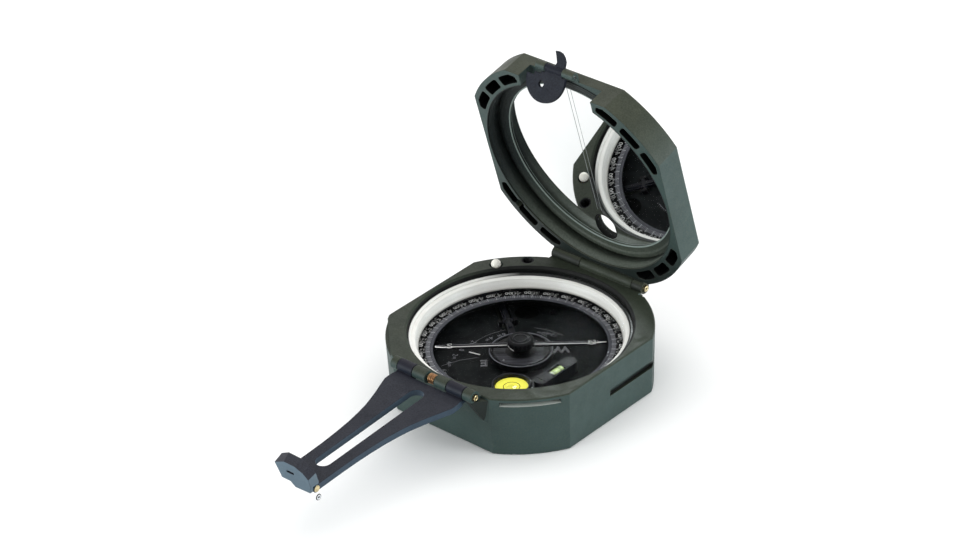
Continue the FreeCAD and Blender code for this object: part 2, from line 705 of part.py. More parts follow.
# ---------------------------------------------------------------- pins of the case
node(
    "arm_hinge_pin",
    fuse(cyl(S.arm_pin, 30.5, -14.85, S.arm_y, S.arm_z, "x", tag="arm_axle"), cyl(1.15, 0.4, 15.55, S.arm_y, S.arm_z, "x", tag="arm_axle_head"), tag="arm_axle_solid"),
)
node(
    "lid_hinge_pin",
    fuse(cyl(S.hinge_pin, 35.1, -18.55, S.hinge_y, S.hinge_z, "x", tag="lid_axle"), cyl(1.2, 0.45, 16.5, S.hinge_y, S.hinge_z, "x", tag="lid_axle_head"), tag="lid_axle_solid"),
)
hel2 = new("Part::Helix", "arm_coil")
hel2.Pitch, hel2.Height, hel2.Radius = 0.62, 2.48, 1.32
hel2.Placement = Placement(Vector(-1.55, -37.6, 20.0), Rotation(Vector(0, 1, 0), 90))
ring2 = new("Part::Circle", "arm_wire")
ring2.Radius = 0.24
ring2.Placement = Placement(Vector(-1.55, -37.6, 20.0 - 1.32), Rotation(Vector(1, 0, 0), 90))
sw2 = new("Part::Sweep", "arm_spring_sweep")
sw2.Sections = [ring2]
sw2.Spine = (hel2, ["Edge1"])
sw2.Solid = True
sw2.Frenet = True
node("arm_spring", sw2)

# ---------------------------------------------------------------- lid (drawn closed)
lid_block = common(
    wedge(None, None, S.lid_rim, S.case_half, S.lid_top, S.lid_top_half, tag="lid_taper"),
    cone(S.case_arc, S.lid_top_arc, S.lid_top - S.lid_rim, 0, 0, S.lid_rim, tag="lid_round"),
    tag="lid_block",
)
lid_block = soften(lid_block, lambda e: upright(e) or flat_at(num(S.lid_top))(e), 0.8, tag="lid_soft")
ladds = []
for x0, x1 in ((-18.6, -7.7), (12.6, 16.4)):
    ladds.append(cyl(S.hinge_radius, x1 - x0, x0, S.hinge_y, S.hinge_z, "x", tag="lid_knuckle"))
    ladds.append(box(x0, x1, 33.9, S.hinge_y, S.hinge_z, S.hinge_z + S.hinge_radius - 0.02, tag="lid_knuckle_foot"))
for x0, x1 in ((-9.4, -6.1), (0.5, 4.6)):
    ladds.append(cyl(1.3, x1 - x0, x0, S.sight_y, S.sight_z, "x", tag="sight_boss"))
    ladds.append(box(x0, x1, S.sight_y, -34.4, S.sight_z + 0.1, S.sight_z + 1.28, tag="sight_boss_foot"))
lcuts = [
    cyl(S.lid_bore, S.lid_seat - S.lid_rim + 1, 0, 0, S.lid_rim - 1, tag="lid_bore"),
    box(-13.45, 13.45, -36.6, -29.0, 18.0, 25.05, tag="arm_notch"),
    cyl(S.hinge_pin + G, 50, -25, S.hinge_y, S.hinge_z, "x", tag="lid_pin_bore"),
    cyl(0.55, 14.5, -9.3, S.sight_y, S.sight_z, "x", tag="sight_pin_bore"),
    cyl(1.8, 3.1, S.pin_x, S.pin_y, 18.6, tag="striker_recess"),
    # room for the barrel of the case
    box(-7.7, 12.6, 35.0, 41.0, 17.0, 23.0, tag="barrel_room"),
]
pockets = []
for q in range(4):
    for a0, a1 in ((24.4, 36.5), (39.2, 50.8), (53.5, 65.6)):
        pockets.append(cyl(38.1, 5.4, 0, 0, 19.0, angle=a1 - a0, rot=Rotation(Vector(0, 0, 1), 90.0 * q + a0), tag="pocket"))
pocket_ring = cut(common(fuse(*pockets, tag="pockets"), box(-33.7, 33.7, -33.7, 33.7, 18.5, 25.0, tag="pocket_bound"), tag="pocket_field"), cyl(34.95, 8, 0, 0, 18.0, tag="pocket_inner"), tag="pocket_ring")
lcuts.append(soften(pocket_ring, upright, 0.85, tag="pocket_round"))
lcuts.append(fuse(box(-4.3, 4.3, 23.9, 25.3, 26, 30, tag="port"), cyl(4.3, 4, 0, 23.9, 26, tag="port_end"), cyl(4.3, 4, 0, 25.3, 26, tag="port_end"), tag="port_cut"))
lid_shell = cut(fuse(lid_block, *ladds, tag="lid_solid"), *lcuts, tag="lid_cut")
lid_node("lid_shell", lid_shell)
mir = cut(
    cyl(S.mirror_radius, S.lid_seat - S.mirror_face - 0.02, 0, 0, S.mirror_face, tag="mirror_disc"),
    fuse(box(-4.05, 4.05, 23.9, 25.3, 25, 28, tag="mport"), cyl(4.05, 3, 0, 23.9, 25, tag="mport_end"), cyl(4.05, 3, 0, 25.3, 25, tag="mport_end"), tag="mport_cut"),
    tag="mirror_cut",
)
lid_node("mirror", mir)
lid_node(
    "sight_window",
    fuse(box(-4.25, 4.25, 23.9, 25.3, 27.02, 28.4, tag="pane"), cyl(4.25, 1.38, 0, 23.9, 27.02, tag="pane_end"), cyl(4.25, 1.38, 0, 25.3, 27.02, tag="pane_end"), tag="pane_solid"),
)
lid_node(
    "mirror_ring",
    turned(
        "mirror_ring",
        [(30.0, S.mirror_face - 0.02), (33.7, S.mirror_face - 0.02), (33.7, 24.9), (32.5, 24.9), (31.9, 25.3), (30.3, 25.42), (30.0, 25.55)],
    ),
)
lid_node("front_sight_pin", cyl(0.53, 13.9, -9.3, S.sight_y, S.sight_z, "x", tag="sight_axle"))

# front sight leaf, drawn flat in the plane of its pin, disc towards +Y, then tilted
fs = cut(
    fuse(
        common(
            cyl(S.sight_disc, S.sight_thick, S.disc_x, S.sight_y + S.sight_reach, S.sight_z - 0.45, tag="leaf_disc"),
            box(-14, 4, -35.7, -20, 22, 27, tag="leaf_half"),
            tag="leaf_round",
        ),
        cyl(1.2, 6.4, -6.0, S.sight_y, S.sight_z, "x", tag="leaf_eye"),
        slab(
            "leaf_prong",
            [(-5.9, -35.0), (-5.9, -36.6), (-3.0, -38.3), (-2.6, -39.5), (-3.35, -41.2), (-4.1, -42.6), (-3.0, -42.75), (-1.7, -42.45), (-0.6, -41.6), (0.2, -40.4), (0.4, -38.4), (0.4, -35.0)],
            S.sight_z - 0.45,
            0.9,
        ),
        tag="leaf_solid",
    ),
    cyl(0.6, 20, -12, S.sight_y, S.sight_z, "x", tag="leaf_bore"),
    cyl(0.95, 4, -6.2, S.sight_y + 5.1, 22, tag="leaf_aperture"),
    # the disc clears the bosses either side of the eye
    box(-14, -6.05, -39.5, -35.75, 22, 27, tag="leaf_clear"),
    box(0.45, 8, -39.5, -35.75, 22, 27, tag="leaf_clear"),
    box(-14, -9.5, -39.5, -33.95, 22, 27, tag="leaf_shoulder"),
    box(-14, -7.2, -39.5, -34.9, 22, 27, tag="leaf_shoulder"),
    tag="leaf_cut",
)
about_x(fs, S.sight_y, S.sight_z, "0 - dims.sight_tilt")
lid_node("front_sight", fuse_one(fs))

# ---------------------------------------------------------------- sight arm (drawn level, reaching to -Y)
HY = num(S.arm_y)


def ay_(d):
    return HY - d


KN = [(-12.75, -7.15), (6.15, 12.1)]
half = [
    (2.2, 12.6), (4.5, 13.0), (6.9, 13.0), (8.8, 12.35), (10.5, 11.75), (13.5, 10.6), (16.6, 9.6), (20.0, 8.6), (23.4, 7.9), (28.6, 7.1), (34.4, 6.6), (40.0, 6.3), (46.0, 6.2), (54.15, 6.2),
]
outline = [(-w, ay_(d)) for d, w in half] + [(w, ay_(d)) for d, w in reversed(half)]
zlow = S.arm_z + S.plate_low
arm_plate = slab("arm_plate", outline, zlow, S.plate_thick)
arm_parts = [arm_plate]
for x0, x1 in KN:
    arm_parts.append(cyl(S.arm_barrel, x1 - x0, x0, S.arm_y, S.arm_z, "x", tag="arm_knuckle"))
    arm_parts.append(box(x0, x1, S.arm_y - 2.4, S.arm_y, zlow, zlow + S.plate_thick, tag="arm_knuckle_foot"))
PY = S.arm_y - S.peep_reach
PZ = S.arm_z - S.peep_drop
for x0 in (-6.2, 4.7):
    arm_parts.append(box(x0, x0 + 1.5, PY, PY + 4.0, zlow, zlow + S.plate_thick, tag="ear"))
    arm_parts.append(cyl(1.25, 1.5, x0, PY, PZ, "x", tag="ear_eye"))
arm_cuts = [
    cyl(S.arm_pin + G, 60, -30, S.arm_y, S.arm_z, "x", tag="arm_bore"),
    cyl(0.55, 20, -10, PY, PZ, "x", tag="peep_bore"),
    box(-S.slot_half, S.slot_half, S.arm_y - 46.3, S.arm_y - 8.1, 15, 22, tag="arm_slot"),
    cyl(S.slot_half, 7, 0, S.arm_y - 46.3, 15, tag="arm_slot_end"),
    cyl(S.slot_half, 7, 0, S.arm_y - 8.1, 15, tag="arm_slot_end"),
]
arm_solid = cut(fuse(*arm_parts, tag="arm_solid"), *arm_cuts, tag="arm_cut")
arm_node("sight_arm", arm_solid)
arm_node("peep_pin", fuse(cyl(0.53, 12.4, -6.2, PY, PZ, "x", tag="peep_axle"), cyl(1.0, 0.3, 6.2, PY, PZ, "x", tag="peep_axle_head"), tag="peep_axle_solid"))

# peep leaf, drawn square to the arm, then leant; its outer face is the smaller one
front_pts = [(-7.0, 4.8), (-3.3, 6.4), (0.8, 6.4), (3.9, 5.4), (5.9, 3.95), (6.6, 1.9), (6.3, -0.2), (3.3, -0.35), (0.6, -0.45), (-1.2, 0.75), (-4.4, 0.75)]
back_pts = [(-7.2, 5.95), (-4.3, 7.4), (0.6, 7.3), (3.6, 6.3), (5.8, 4.7), (6.7, 2.3), (6.3, -0.2), (3.3, -0.35), (0.6, -0.45), (-1.2, 0.75), (-4.4, 0.75)]
faces = []
for pts, ahead in ((front_pts, -num(S.peep_front)), (back_pts, num(S.peep_back))):
    w = new("Part::Polygon", "peep_face")
    w.Nodes = [Vector(x, num(PY) + ahead, num(PZ) + h) for x, h in pts]
    w.Close = True
    faces.append(w)
leaf = new("Part::Loft", "peep_leaf")
leaf.Sections = faces
leaf.Solid = True
leaf.Ruled = True
peep = cut(
    fuse(leaf, cyl(1.28, 9.0, -4.5, PY, PZ, "x", tag="peep_eye"), tag="peep_solid"),
    cyl(0.6, 20, -10, PY, PZ, "x", tag="peep_hinge_bore"),
    box(-2.4, 0.35, PY - 6, PY + 4, PZ + 3.35, PZ + 4.0, tag="peep_slit"),
    box(4.55, 9, PY - 1.5, PY + 4, PZ - 4, PZ + 1.5, tag="ear_room"),
    box(-9, -4.55, PY - 1.5, PY + 4, PZ - 4, PZ + 1.5, tag="ear_room"),
    tag="peep_cut",
)
about_x(peep, PY, PZ, "dims.peep_lean")
pt = doc.addObject("Part::Compound", "peep_leant")
pt.Links = [peep]
arm_node("peep_sight", pt)

# ---------------------------------------------------------------- checks and export
doc.recompute()
bad = []
for o in doc.Objects:
    if any(k in o.State for k in ("Invalid", "Error")):
        bad.append((o.Name, o.Label, list(o.State)))
labels = [o.Label for o in doc.Objects]
for name in NODES:
    if labels.count(name) != 1:
        bad.append((name, "label used more than once"))
for name, o in NODES.items():
    sh = o.Shape
    if sh.isNull() or not sh.isValid() or not sh.Solids or sh.Volume <= 0:
        bad.append((name, "bad shape", sh.isNull() or sh.isValid(), sh.isNull() or len(sh.Solids)))
if bad:
    for b in bad:
        print("PROBLEM", b)
    raise RuntimeError("the model did not build: %s" % bad[:6])
if len(NODES) > 60:
    raise RuntimeError("too many parts")
os.makedirs("parts", exist_ok=True)
for old in os.listdir("parts"):
    if old.endswith(".step") and old[:-5] not in NODES:
        os.remove(os.path.join("parts", old))
for name, o in NODES.items():
    o.Shape.exportStep(os.path.join("parts", name + ".step"))
    bb = o.Shape.BoundBox
    print("%-22s solids %d vol %9.2f  x %.2f..%.2f y %.2f..%.2f z %.2f..%.2f" % (name, len(o.Shape.Solids), o.Shape.Volume, bb.XMin, bb.XMax, bb.YMin, bb.YMax, bb.ZMin, bb.ZMax))
print("nodes", len(NODES))
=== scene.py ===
import bpy
import math
import random
from mathutils import Matrix, Vector


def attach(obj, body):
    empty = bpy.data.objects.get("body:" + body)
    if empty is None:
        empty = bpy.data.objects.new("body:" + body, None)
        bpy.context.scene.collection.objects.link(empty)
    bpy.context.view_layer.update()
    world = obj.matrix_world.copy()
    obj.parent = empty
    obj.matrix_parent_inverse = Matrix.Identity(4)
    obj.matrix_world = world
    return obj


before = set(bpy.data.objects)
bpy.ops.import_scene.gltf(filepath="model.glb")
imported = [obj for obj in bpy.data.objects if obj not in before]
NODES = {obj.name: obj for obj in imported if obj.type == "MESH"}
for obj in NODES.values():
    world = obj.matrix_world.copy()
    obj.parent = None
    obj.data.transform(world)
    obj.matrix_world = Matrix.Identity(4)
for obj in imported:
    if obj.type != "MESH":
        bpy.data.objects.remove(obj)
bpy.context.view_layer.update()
S = 0.001
random.seed(7)

# ------------------------------------------------------------------ transforms
# the lid's pieces are made shut and the arm's level, then turned to the rest pose
LID = Matrix.Translation((0, 0.038, 0.01994)) @ Matrix.Rotation(math.radians(-75.0), 4, "X") @ Matrix.Translation((0, -0.038, -0.01994))
ARM = Matrix.Translation((0, -0.0376, 0.020)) @ Matrix.Rotation(math.radians(3.07), 4, "X") @ Matrix.Translation((0, 0.0376, -0.020))
ONE = Matrix.Identity(4)

# ------------------------------------------------------------------ material kit


def srgb(r, g, b):
    def f(c):
        c /= 255.0
        return c / 12.92 if c <= 0.04045 else ((c + 0.055) / 1.055) ** 2.4

    return (f(r), f(g), f(b), 1.0)


class Mat:
    """A small builder round one Principled shader."""

    def __init__(self, name):
        self.m = bpy.data.materials.new(name)
        self.m.use_nodes = True
        self.t = self.m.node_tree
        self.t.nodes.clear()
        self.out = self.add("ShaderNodeOutputMaterial")
        self.p = self.add("ShaderNodeBsdfPrincipled")
        self.link(self.p.outputs[0], self.out.inputs[0])
        self.coord = self.add("ShaderNodeTexCoord").outputs["Object"]
        self.m["kit"] = 1

    def add(self, kind, **kw):
        n = self.t.nodes.new(kind)
        for k, v in kw.items():
            setattr(n, k, v)
        return n

    def link(self, a, b):
        self.t.links.new(a, b)

    def set(self, **kw):
        for k, v in kw.items():
            self.p.inputs[k.replace("_", " ")].default_value = v
        return self

    def noise(self, scale, detail=3.0, rough=0.55, vec=None, stretch=None, distortion=0.0):
        n = self.add("ShaderNodeTexNoise")
        n.inputs["Scale"].default_value = scale
        n.inputs["Detail"].default_value = detail
        n.inputs["Roughness"].default_value = rough
        n.inputs["Distortion"].default_value = distortion
        src = vec or self.coord
        if stretch:
            mp = self.add("ShaderNodeMapping")
            mp.inputs["Scale"].default_value = stretch
            self.link(src, mp.inputs["Vector"])
            src = mp.outputs[0]
        self.link(src, n.inputs["Vector"])
        return n.outputs["Fac"]

    def ramp(self, fac, lo, hi, a=0.0, b=1.0):
        n = self.add("ShaderNodeMapRange")
        n.inputs["From Min"].default_value = lo
        n.inputs["From Max"].default_value = hi
        n.inputs["To Min"].default_value = a
        n.inputs["To Max"].default_value = b
        self.link(fac, n.inputs["Value"])
        return n.outputs[0]

    def math(self, op, a, b=None):
        n = self.add("ShaderNodeMath", operation=op)
        for i, v in enumerate((a, b)):
            if v is None:
                continue
            if isinstance(v, (int, float)):
                n.inputs[i].default_value = v
            else:
                self.link(v, n.inputs[i])
        return n.outputs[0]

    def mix(self, fac, a, b):
        n = self.add("ShaderNodeMix", data_type="RGBA")
        for i, v in ((0, fac), (6, a), (7, b)):
            if isinstance(v, (tuple, list, int, float)):
                n.inputs[i].default_value = v
            else:
                self.link(v, n.inputs[i])
        return n.outputs[2]

    def colour(self, sock):
        self.link(sock, self.p.inputs["Base Color"])
        return self

    def rough(self, sock):
        self.link(sock, self.p.inputs["Roughness"])
        return self

    def bump(self, height, strength=0.3, distance=0.00005, normal=None):
        n = self.add("ShaderNodeBump")
        n.inputs["Strength"].default_value = strength
        n.inputs["Distance"].default_value = distance
        self.link(height, n.inputs["Height"])
        if normal is not None:
            self.link(normal, n.inputs["Normal"])
        self.link(n.outputs[0], self.p.inputs["Normal"])
        return self

    def bevel(self, radius):
        n = self.add("ShaderNodeBevel")
        n.samples = 4
        n.inputs["Radius"].default_value = radius
        return n.outputs[0]

    def edge(self, radius, gain=5.0):
        """0 on flats, 1 on worn edges."""
        b = self.bevel(radius)
        g = self.add("ShaderNodeNewGeometry").outputs["Normal"]
        d = self.add("ShaderNodeVectorMath", operation="DOT_PRODUCT")
        self.link(b, d.inputs[0])
        self.link(g, d.inputs[1])
        e = self.math("SUBTRACT", 1.0, d.outputs["Value"])
        e = self.math("MULTIPLY", e, gain)
        n = self.add("ShaderNodeClamp")
        self.link(e, n.inputs[0])
        return n.outputs[0], b


def painted(name, base, alt, worn, rough=(0.42, 0.6), spec=0.35, grain=2600.0, mottle=90.0, bump=0.22, wear=0.45, edge_r=0.00035, side_light=None, span=(0.15, 0.75), hinge=False, dirt=None, extra=None):
    """Sprayed paint on metal: fine orange peel, slow colour drift, polished edges, faint scuffs.
    The side colour is for the faces that stand upright: painted light, cooler and lighter than the tops, as side
    lamps would leave them."""
    k = Mat(name)
    slow = k.ramp(k.noise(mottle, 4.0, 0.6), 0.3, 0.7)
    fine = k.noise(grain, 2.0, 0.5)
    c = k.mix(slow, base, alt)
    # painted light: upright faces take the side colour, while the tops keep the paint's own
    if side_light:
        n = k.add("ShaderNodeSeparateXYZ")
        k.link(k.add("ShaderNodeNewGeometry").outputs["Normal"], n.inputs[0])
        up = k.ramp(n.outputs[2], span[0], span[1], 0.0, 1.0)
        # the hinge barrels keep the top colour, without the painted side light
        if hinge:
            q = k.add("ShaderNodeSeparateXYZ")
            k.link(k.coord, q.inputs[0])
            near = k.math("MULTIPLY", k.ramp(q.outputs[1], 0.0355, 0.0361), k.ramp(q.outputs[2], 0.0235, 0.0225))
            up = k.math("MAXIMUM", up, near)
        c2 = k.mix(slow, side_light[0], side_light[1])
        c = k.mix(up, c2, c)
    c = k.mix(k.ramp(fine, 0.25, 0.8, 0.0, 0.32), c, worn)
    scuff = k.noise(260.0, 6.0, 0.75, stretch=(0.25, 1.0, 1.0), distortion=1.5)
    scuff = k.ramp(scuff, 0.62, 0.72, 0.0, 0.35)
    c = k.mix(scuff, c, worn)
    if dirt:
        c = k.mix(k.ramp(k.noise(35.0, 5.0, 0.6), 0.5, 0.75, 0.0, 0.6), c, dirt)
    e, bev = k.edge(edge_r, 3.0)
    broken = k.ramp(k.noise(900.0, 4.0, 0.7), 0.35, 0.65, 0.25, 1.0)
    e = k.math("MULTIPLY", e, broken)
    c = k.mix(k.math("MULTIPLY", e, wear), c, worn)
    if extra:
        c = extra(k, c)
    k.colour(c)
    r = k.ramp(k.noise(320.0, 5.0, 0.6), 0.3, 0.7, rough[0], rough[1])
    k.rough(k.math("SUBTRACT", r, k.math("MULTIPLY", scuff, 0.25)))
    k.set(Specular_IOR_Level=spec)
    k.bump(fine, bump, 0.00006, bev)
    return k.m


def metal(name, base, alt, rough=(0.2, 0.4), brushed=(1.0, 1.0, 14.0), scale=900.0, stain=None):
    k = Mat(name)
    lines = k.noise(scale, 4.0, 0.65, stretch=brushed)
    cloud = k.noise(140.0, 4.0, 0.6)
    c = k.mix(k.ramp(cloud, 0.3, 0.7), base, alt)
    if stain:
        e, b = k.edge(0.0002, 3.0)
        c = k.mix(k.ramp(k.noise(520.0, 5.0, 0.7), 0.45, 0.7, 0.0, 0.75), c, stain)
    k.colour(c)
    k.rough(k.ramp(lines, 0.3, 0.7, rough[0], rough[1]))
    k.set(Metallic=1.0)
    k.bump(lines, 0.12, 0.00002, k.bevel(0.00012))
    return k.m


def lacquer(name, base, alt, rough=(0.35, 0.6), spec=0.3, grain=3000.0, bump=0.15, worn=None, extra=None, bevel=0.00015):
    k = Mat(name)
    c = k.mix(k.ramp(k.noise(160.0, 4.0, 0.6), 0.3, 0.7), base, alt)
    fine = k.noise(grain, 3.0, 0.55)
    c = k.mix(k.ramp(fine, 0.3, 0.8, 0.0, 0.35), c, alt)
    if worn:
        e, b = k.edge(bevel * 1.6, 3.0)
        c = k.mix(k.math("MULTIPLY", e, 0.5), c, worn)
    if extra:
        c = extra(k, c)
    k.colour(c)
    k.rough(k.ramp(k.noise(420.0, 4.0, 0.6), 0.3, 0.7, rough[0], rough[1]))
    k.set(Specular_IOR_Level=spec)
    k.bump(fine, bump, 0.00003, k.bevel(bevel))
    return k.m


def radius_of(k):
    """Distance from the object's Z axis."""
    s = k.add("ShaderNodeSeparateXYZ")
    k.link(k.coord, s.inputs[0])
    x2 = k.math("MULTIPLY", s.outputs[0], s.outputs[0])
    y2 = k.math("MULTIPLY", s.outputs[1], s.outputs[1])
    return k.math("SQRT", k.math("ADD", x2, y2)), s


# ------------------------------------------------------------------ mesh kit
class Shape:
    def __init__(self):
        self.v, self.f, self.smooth = [], [], []

    def add(self, verts, faces, m=ONE, smooth=False):
        o = len(self.v)
        self.v += [tuple(m @ Vector(p)) for p in verts]
        self.f += [tuple(i + o for i in f) for f in faces]
        self.smooth += [smooth] * len(faces)
        return self

    def strip(self, pts, width, z0, z1, closed=False, widths=None):
        """A flat raised line along pts (mm), from z0 to z1."""
        n = len(pts)
        P = [Vector((p[0], p[1])) for p in pts]
        L, R = [], []
        for i in range(n):
            if closed:
                a, b = P[(i - 1) % n], P[(i + 1) % n]
            else:
                a, b = P[max(i - 1, 0)], P[min(i + 1, n - 1)]
            d = (b - a).normalized()
            nrm = Vector((-d.y, d.x))
            w = (widths[i] if widths else width) / 2.0
            L.append(P[i] + nrm * w)
            R.append(P[i] - nrm * w)
        verts = []
        for i in range(n):
            for q, z in ((L[i], z1), (R[i], z1), (R[i], z0), (L[i], z0)):
                verts.append((q.x * S, q.y * S, z * S))
        faces = []
        m = n if closed else n - 1
        for i in range(m):
            a, b = 4 * i, 4 * ((i + 1) % n)
            for s in range(4):
                t = (s + 1) % 4
                faces.append((a + s, b + s, b + t, a + t)[::-1])
        if not closed:
            faces.append((0, 1, 2, 3)[::-1])
            e = 4 * (n - 1)
            faces.append((e, e + 1, e + 2, e + 3))
        return verts, faces

    def line(self, pts, width, z0, z1, m=ONE, closed=False, widths=None):
        v, f = self.strip(pts, width, z0, z1, closed, widths)
        return self.add(v, f, m)

    def lathe(self, prof, m=ONE, seg=96, a0=0.0, a1=360.0, closed_profile=True, smooth=True):
        """Turns a (radius, height) profile in mm about Z."""
        full = abs(a1 - a0) >= 359.999
        n = seg if full else seg + 1
        verts, faces = [], []
        k = len(prof)
        for i in range(n):
            a = math.radians(a0 + (a1 - a0) * i / seg)
            for r, z in prof:
                verts.append((r * S * math.cos(a), r * S * math.sin(a), z * S))
        ring = k if closed_profile else k - 1
        for i in range(seg):
            j = (i + 1) % n if full else i + 1
            for s in range(ring):
                t = (s + 1) % k
                faces.append((i * k + s, j * k + s, j * k + t, i * k + t))
        if not full and closed_profile:
            faces.append(tuple(range(k)))
            faces.append(tuple((n - 1) * k + s for s in range(k))[::-1])
        return self.add(verts, faces, m, smooth)

    def build(self, name, mat, body, slot, bevel=0.0, fix=True):
        me = bpy.data.meshes.new(name)
        me.from_pydata(self.v, [], self.f)
        me.validate()
        for p, s in zip(me.polygons, self.smooth):
            p.use_smooth = s
        me.materials.append(mat)
        ob = bpy.data.objects.new(name, me)
        bpy.context.scene.collection.objects.link(ob)
        if fix:
            import bmesh

            bm = bmesh.new()
            bm.from_mesh(me)
            bmesh.ops.remove_doubles(bm, verts=bm.verts, dist=1e-8)
            bmesh.ops.recalc_face_normals(bm, faces=bm.faces)
            bm.to_mesh(me)
            bm.free()
        if bevel:
            b = ob.modifiers.new("bevel", "BEVEL")
            b.width = bevel * S
            b.segments = 2
            b.limit_method = "ANGLE"
            b.angle_limit = math.radians(40)
        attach(ob, body)
        return ob


GLYPHS = {}


def glyph(text, size, extrude=0.0, outline=0.0):
    """(verts, faces) of a text centred on its own box, in mm units, lying in XY."""
    key = (text, size, extrude, outline)
    if key not in GLYPHS:
        cu = bpy.data.curves.new("glyph", "FONT")
        cu.body = text
        cu.size = size
        cu.align_x = "CENTER"
        cu.align_y = "CENTER"
        cu.resolution_u = 3
        if outline:
            cu.fill_mode = "NONE"
            cu.bevel_depth = outline
            cu.bevel_resolution = 1
        else:
            cu.extrude = extrude
        ob = bpy.data.objects.new("glyph", cu)
        bpy.context.scene.collection.objects.link(ob)
        bpy.context.view_layer.update()
        me = bpy.data.meshes.new_from_object(ob)
        GLYPHS[key] = ([tuple(v.co) for v in me.vertices], [tuple(p.vertices) for p in me.polygons])
        bpy.data.objects.remove(ob)
        bpy.data.meshes.remove(me)
        bpy.data.curves.remove(cu)
    return GLYPHS[key]


def put_text(shape, text, size, x, y, z, deg, extrude=0.012, outline=0.0, m=ONE, sx=1.0):
    v, f = glyph(text, size, extrude, outline)
    c, s = math.cos(math.radians(deg)), math.sin(math.radians(deg))
    out = [((x + (p[0] * sx) * c - p[1] * s) * S, (y + (p[0] * sx) * s + p[1] * c) * S, (z + p[2]) * S) for p in v]
    shape.add(out, f, m)


def polar(r, deg):
    return r * math.cos(math.radians(deg)), r * math.sin(math.radians(deg))


# ------------------------------------------------------------------ materials
def case_extra(k, c):
    """Painted shade in the bracket slots and the finger groove, and a painted highlight on the groove's ledge."""
    r, s = radius_of(k)
    x, y, z = s.outputs[0], s.outputs[1], s.outputs[2]
    ax_ = k.math("ABSOLUTE", x)
    # bracket slots: near black, a painted shade
    wall = k.math("ADD", 0.03432, k.math("MULTIPLY", z, 0.035))
    m = k.ramp(k.math("SUBTRACT", wall, ax_), 0.0001, 0.00105)
    for src, lo, hi in ((z, 0.00885, 0.0089), (z, 0.0118, 0.0112), (y, -0.0009, -0.0002), (y, 0.0216, 0.0196)):
        m = k.math("MULTIPLY", m, k.ramp(src, lo, hi))
    c = k.mix(k.math("MULTIPLY", m, 0.97), c, srgb(4, 5, 5))
    # finger groove: darkened, a painted shade
    g = k.ramp(r, 0.0393, 0.0388)
    for src, lo, hi in ((z, 0.01708, 0.01712), (z, 0.01834, 0.0183), (x, 0.0195, 0.0198), (y, -0.0195, -0.0198)):
        g = k.math("MULTIPLY", g, k.ramp(src, lo, hi))
    c = k.mix(k.math("MULTIPLY", g, 0.8), c, srgb(14, 15, 14))
    # the groove's ledge: near white, a painted highlight
    h = k.ramp(r, 0.0369, 0.0376)
    up_ = k.add("ShaderNodeSeparateXYZ")
    k.link(k.add("ShaderNodeNewGeometry").outputs["Normal"], up_.inputs[0])
    for src, lo, hi in ((z, 0.0169, 0.01695), (z, 0.01712, 0.01708), (x, 0.0185, 0.0188), (y, -0.0185, -0.0188), (up_.outputs[2], 0.5, 0.8)):
        h = k.math("MULTIPLY", h, k.ramp(src, lo, hi))
    c = k.mix(h, c, srgb(196, 202, 196))
    # black inside the well; on the back half the black runs out over the chamfer, a painted shade
    w = k.math("MULTIPLY", k.ramp(r, 0.03335, 0.0333), k.ramp(z, 0.0062, 0.0066))
    w2 = k.math("MULTIPLY", k.ramp(r, 0.03415, 0.0340), k.math("MULTIPLY", k.ramp(z, 0.0062, 0.0066), k.ramp(k.math("ADD", y, k.math("MULTIPLY", x, 0.6)), -0.012, 0.006)))
    c = k.mix(k.math("MAXIMUM", w, w2), c, srgb(10, 12, 11))
    # the foot under the right lug: one facet catches the light, the others stay dark
    f = k.ramp(y, -0.03512, -0.03522)
    for src, lo, hi in ((z, 0.01865, 0.0185), (x, 0.0119, 0.0122), (x, 0.0187, 0.0184)):
        f = k.math("MULTIPLY", f, k.ramp(src, lo, hi))
    n = k.add("ShaderNodeSeparateXYZ")
    k.link(k.add("ShaderNodeNewGeometry").outputs["Normal"], n.inputs[0])
    facet = k.mix(k.ramp(n.outputs[0], -0.55, -0.4), srgb(104, 128, 132), srgb(18, 25, 22))
    return k.mix(k.math("MULTIPLY", f, 0.9), c, facet)


def floor_extra(k, c):
    """Faint cloudy mottling of the dial floor."""
    cloud = k.ramp(k.noise(150.0, 5.0, 0.6, distortion=0.6), 0.40, 0.72, 0.0, 0.7)
    c = k.mix(cloud, c, srgb(34, 38, 38))
    s = k.add("ShaderNodeSeparateXYZ")
    k.link(k.coord, s.inputs[0])
    return k.mix(k.ramp(s.outputs[2], 0.00757, 0.0075), c, srgb(0, 0, 0))


def ring_extra(k, c):
    """Black below the graduated face."""
    s = k.add("ShaderNodeSeparateXYZ")
    k.link(k.coord, s.inputs[0])
    return k.mix(k.ramp(s.outputs[2], 0.01236, 0.01232), c, srgb(4, 5, 6))


def bore_extra(k, c):
    """The bore is dark, turning a lighter olive with grit lower down, near the hinge."""
    s = k.add("ShaderNodeSeparateXYZ")
    k.link(k.coord, s.inputs[0])
    low = k.ramp(s.outputs[2], 0.048, 0.028, 0.0, 0.8)
    grit = k.ramp(k.noise(1500.0, 5.0, 0.7), 0.3, 0.7)
    return k.mix(low, c, k.mix(grit, srgb(54, 60, 52), srgb(84, 90, 80)))


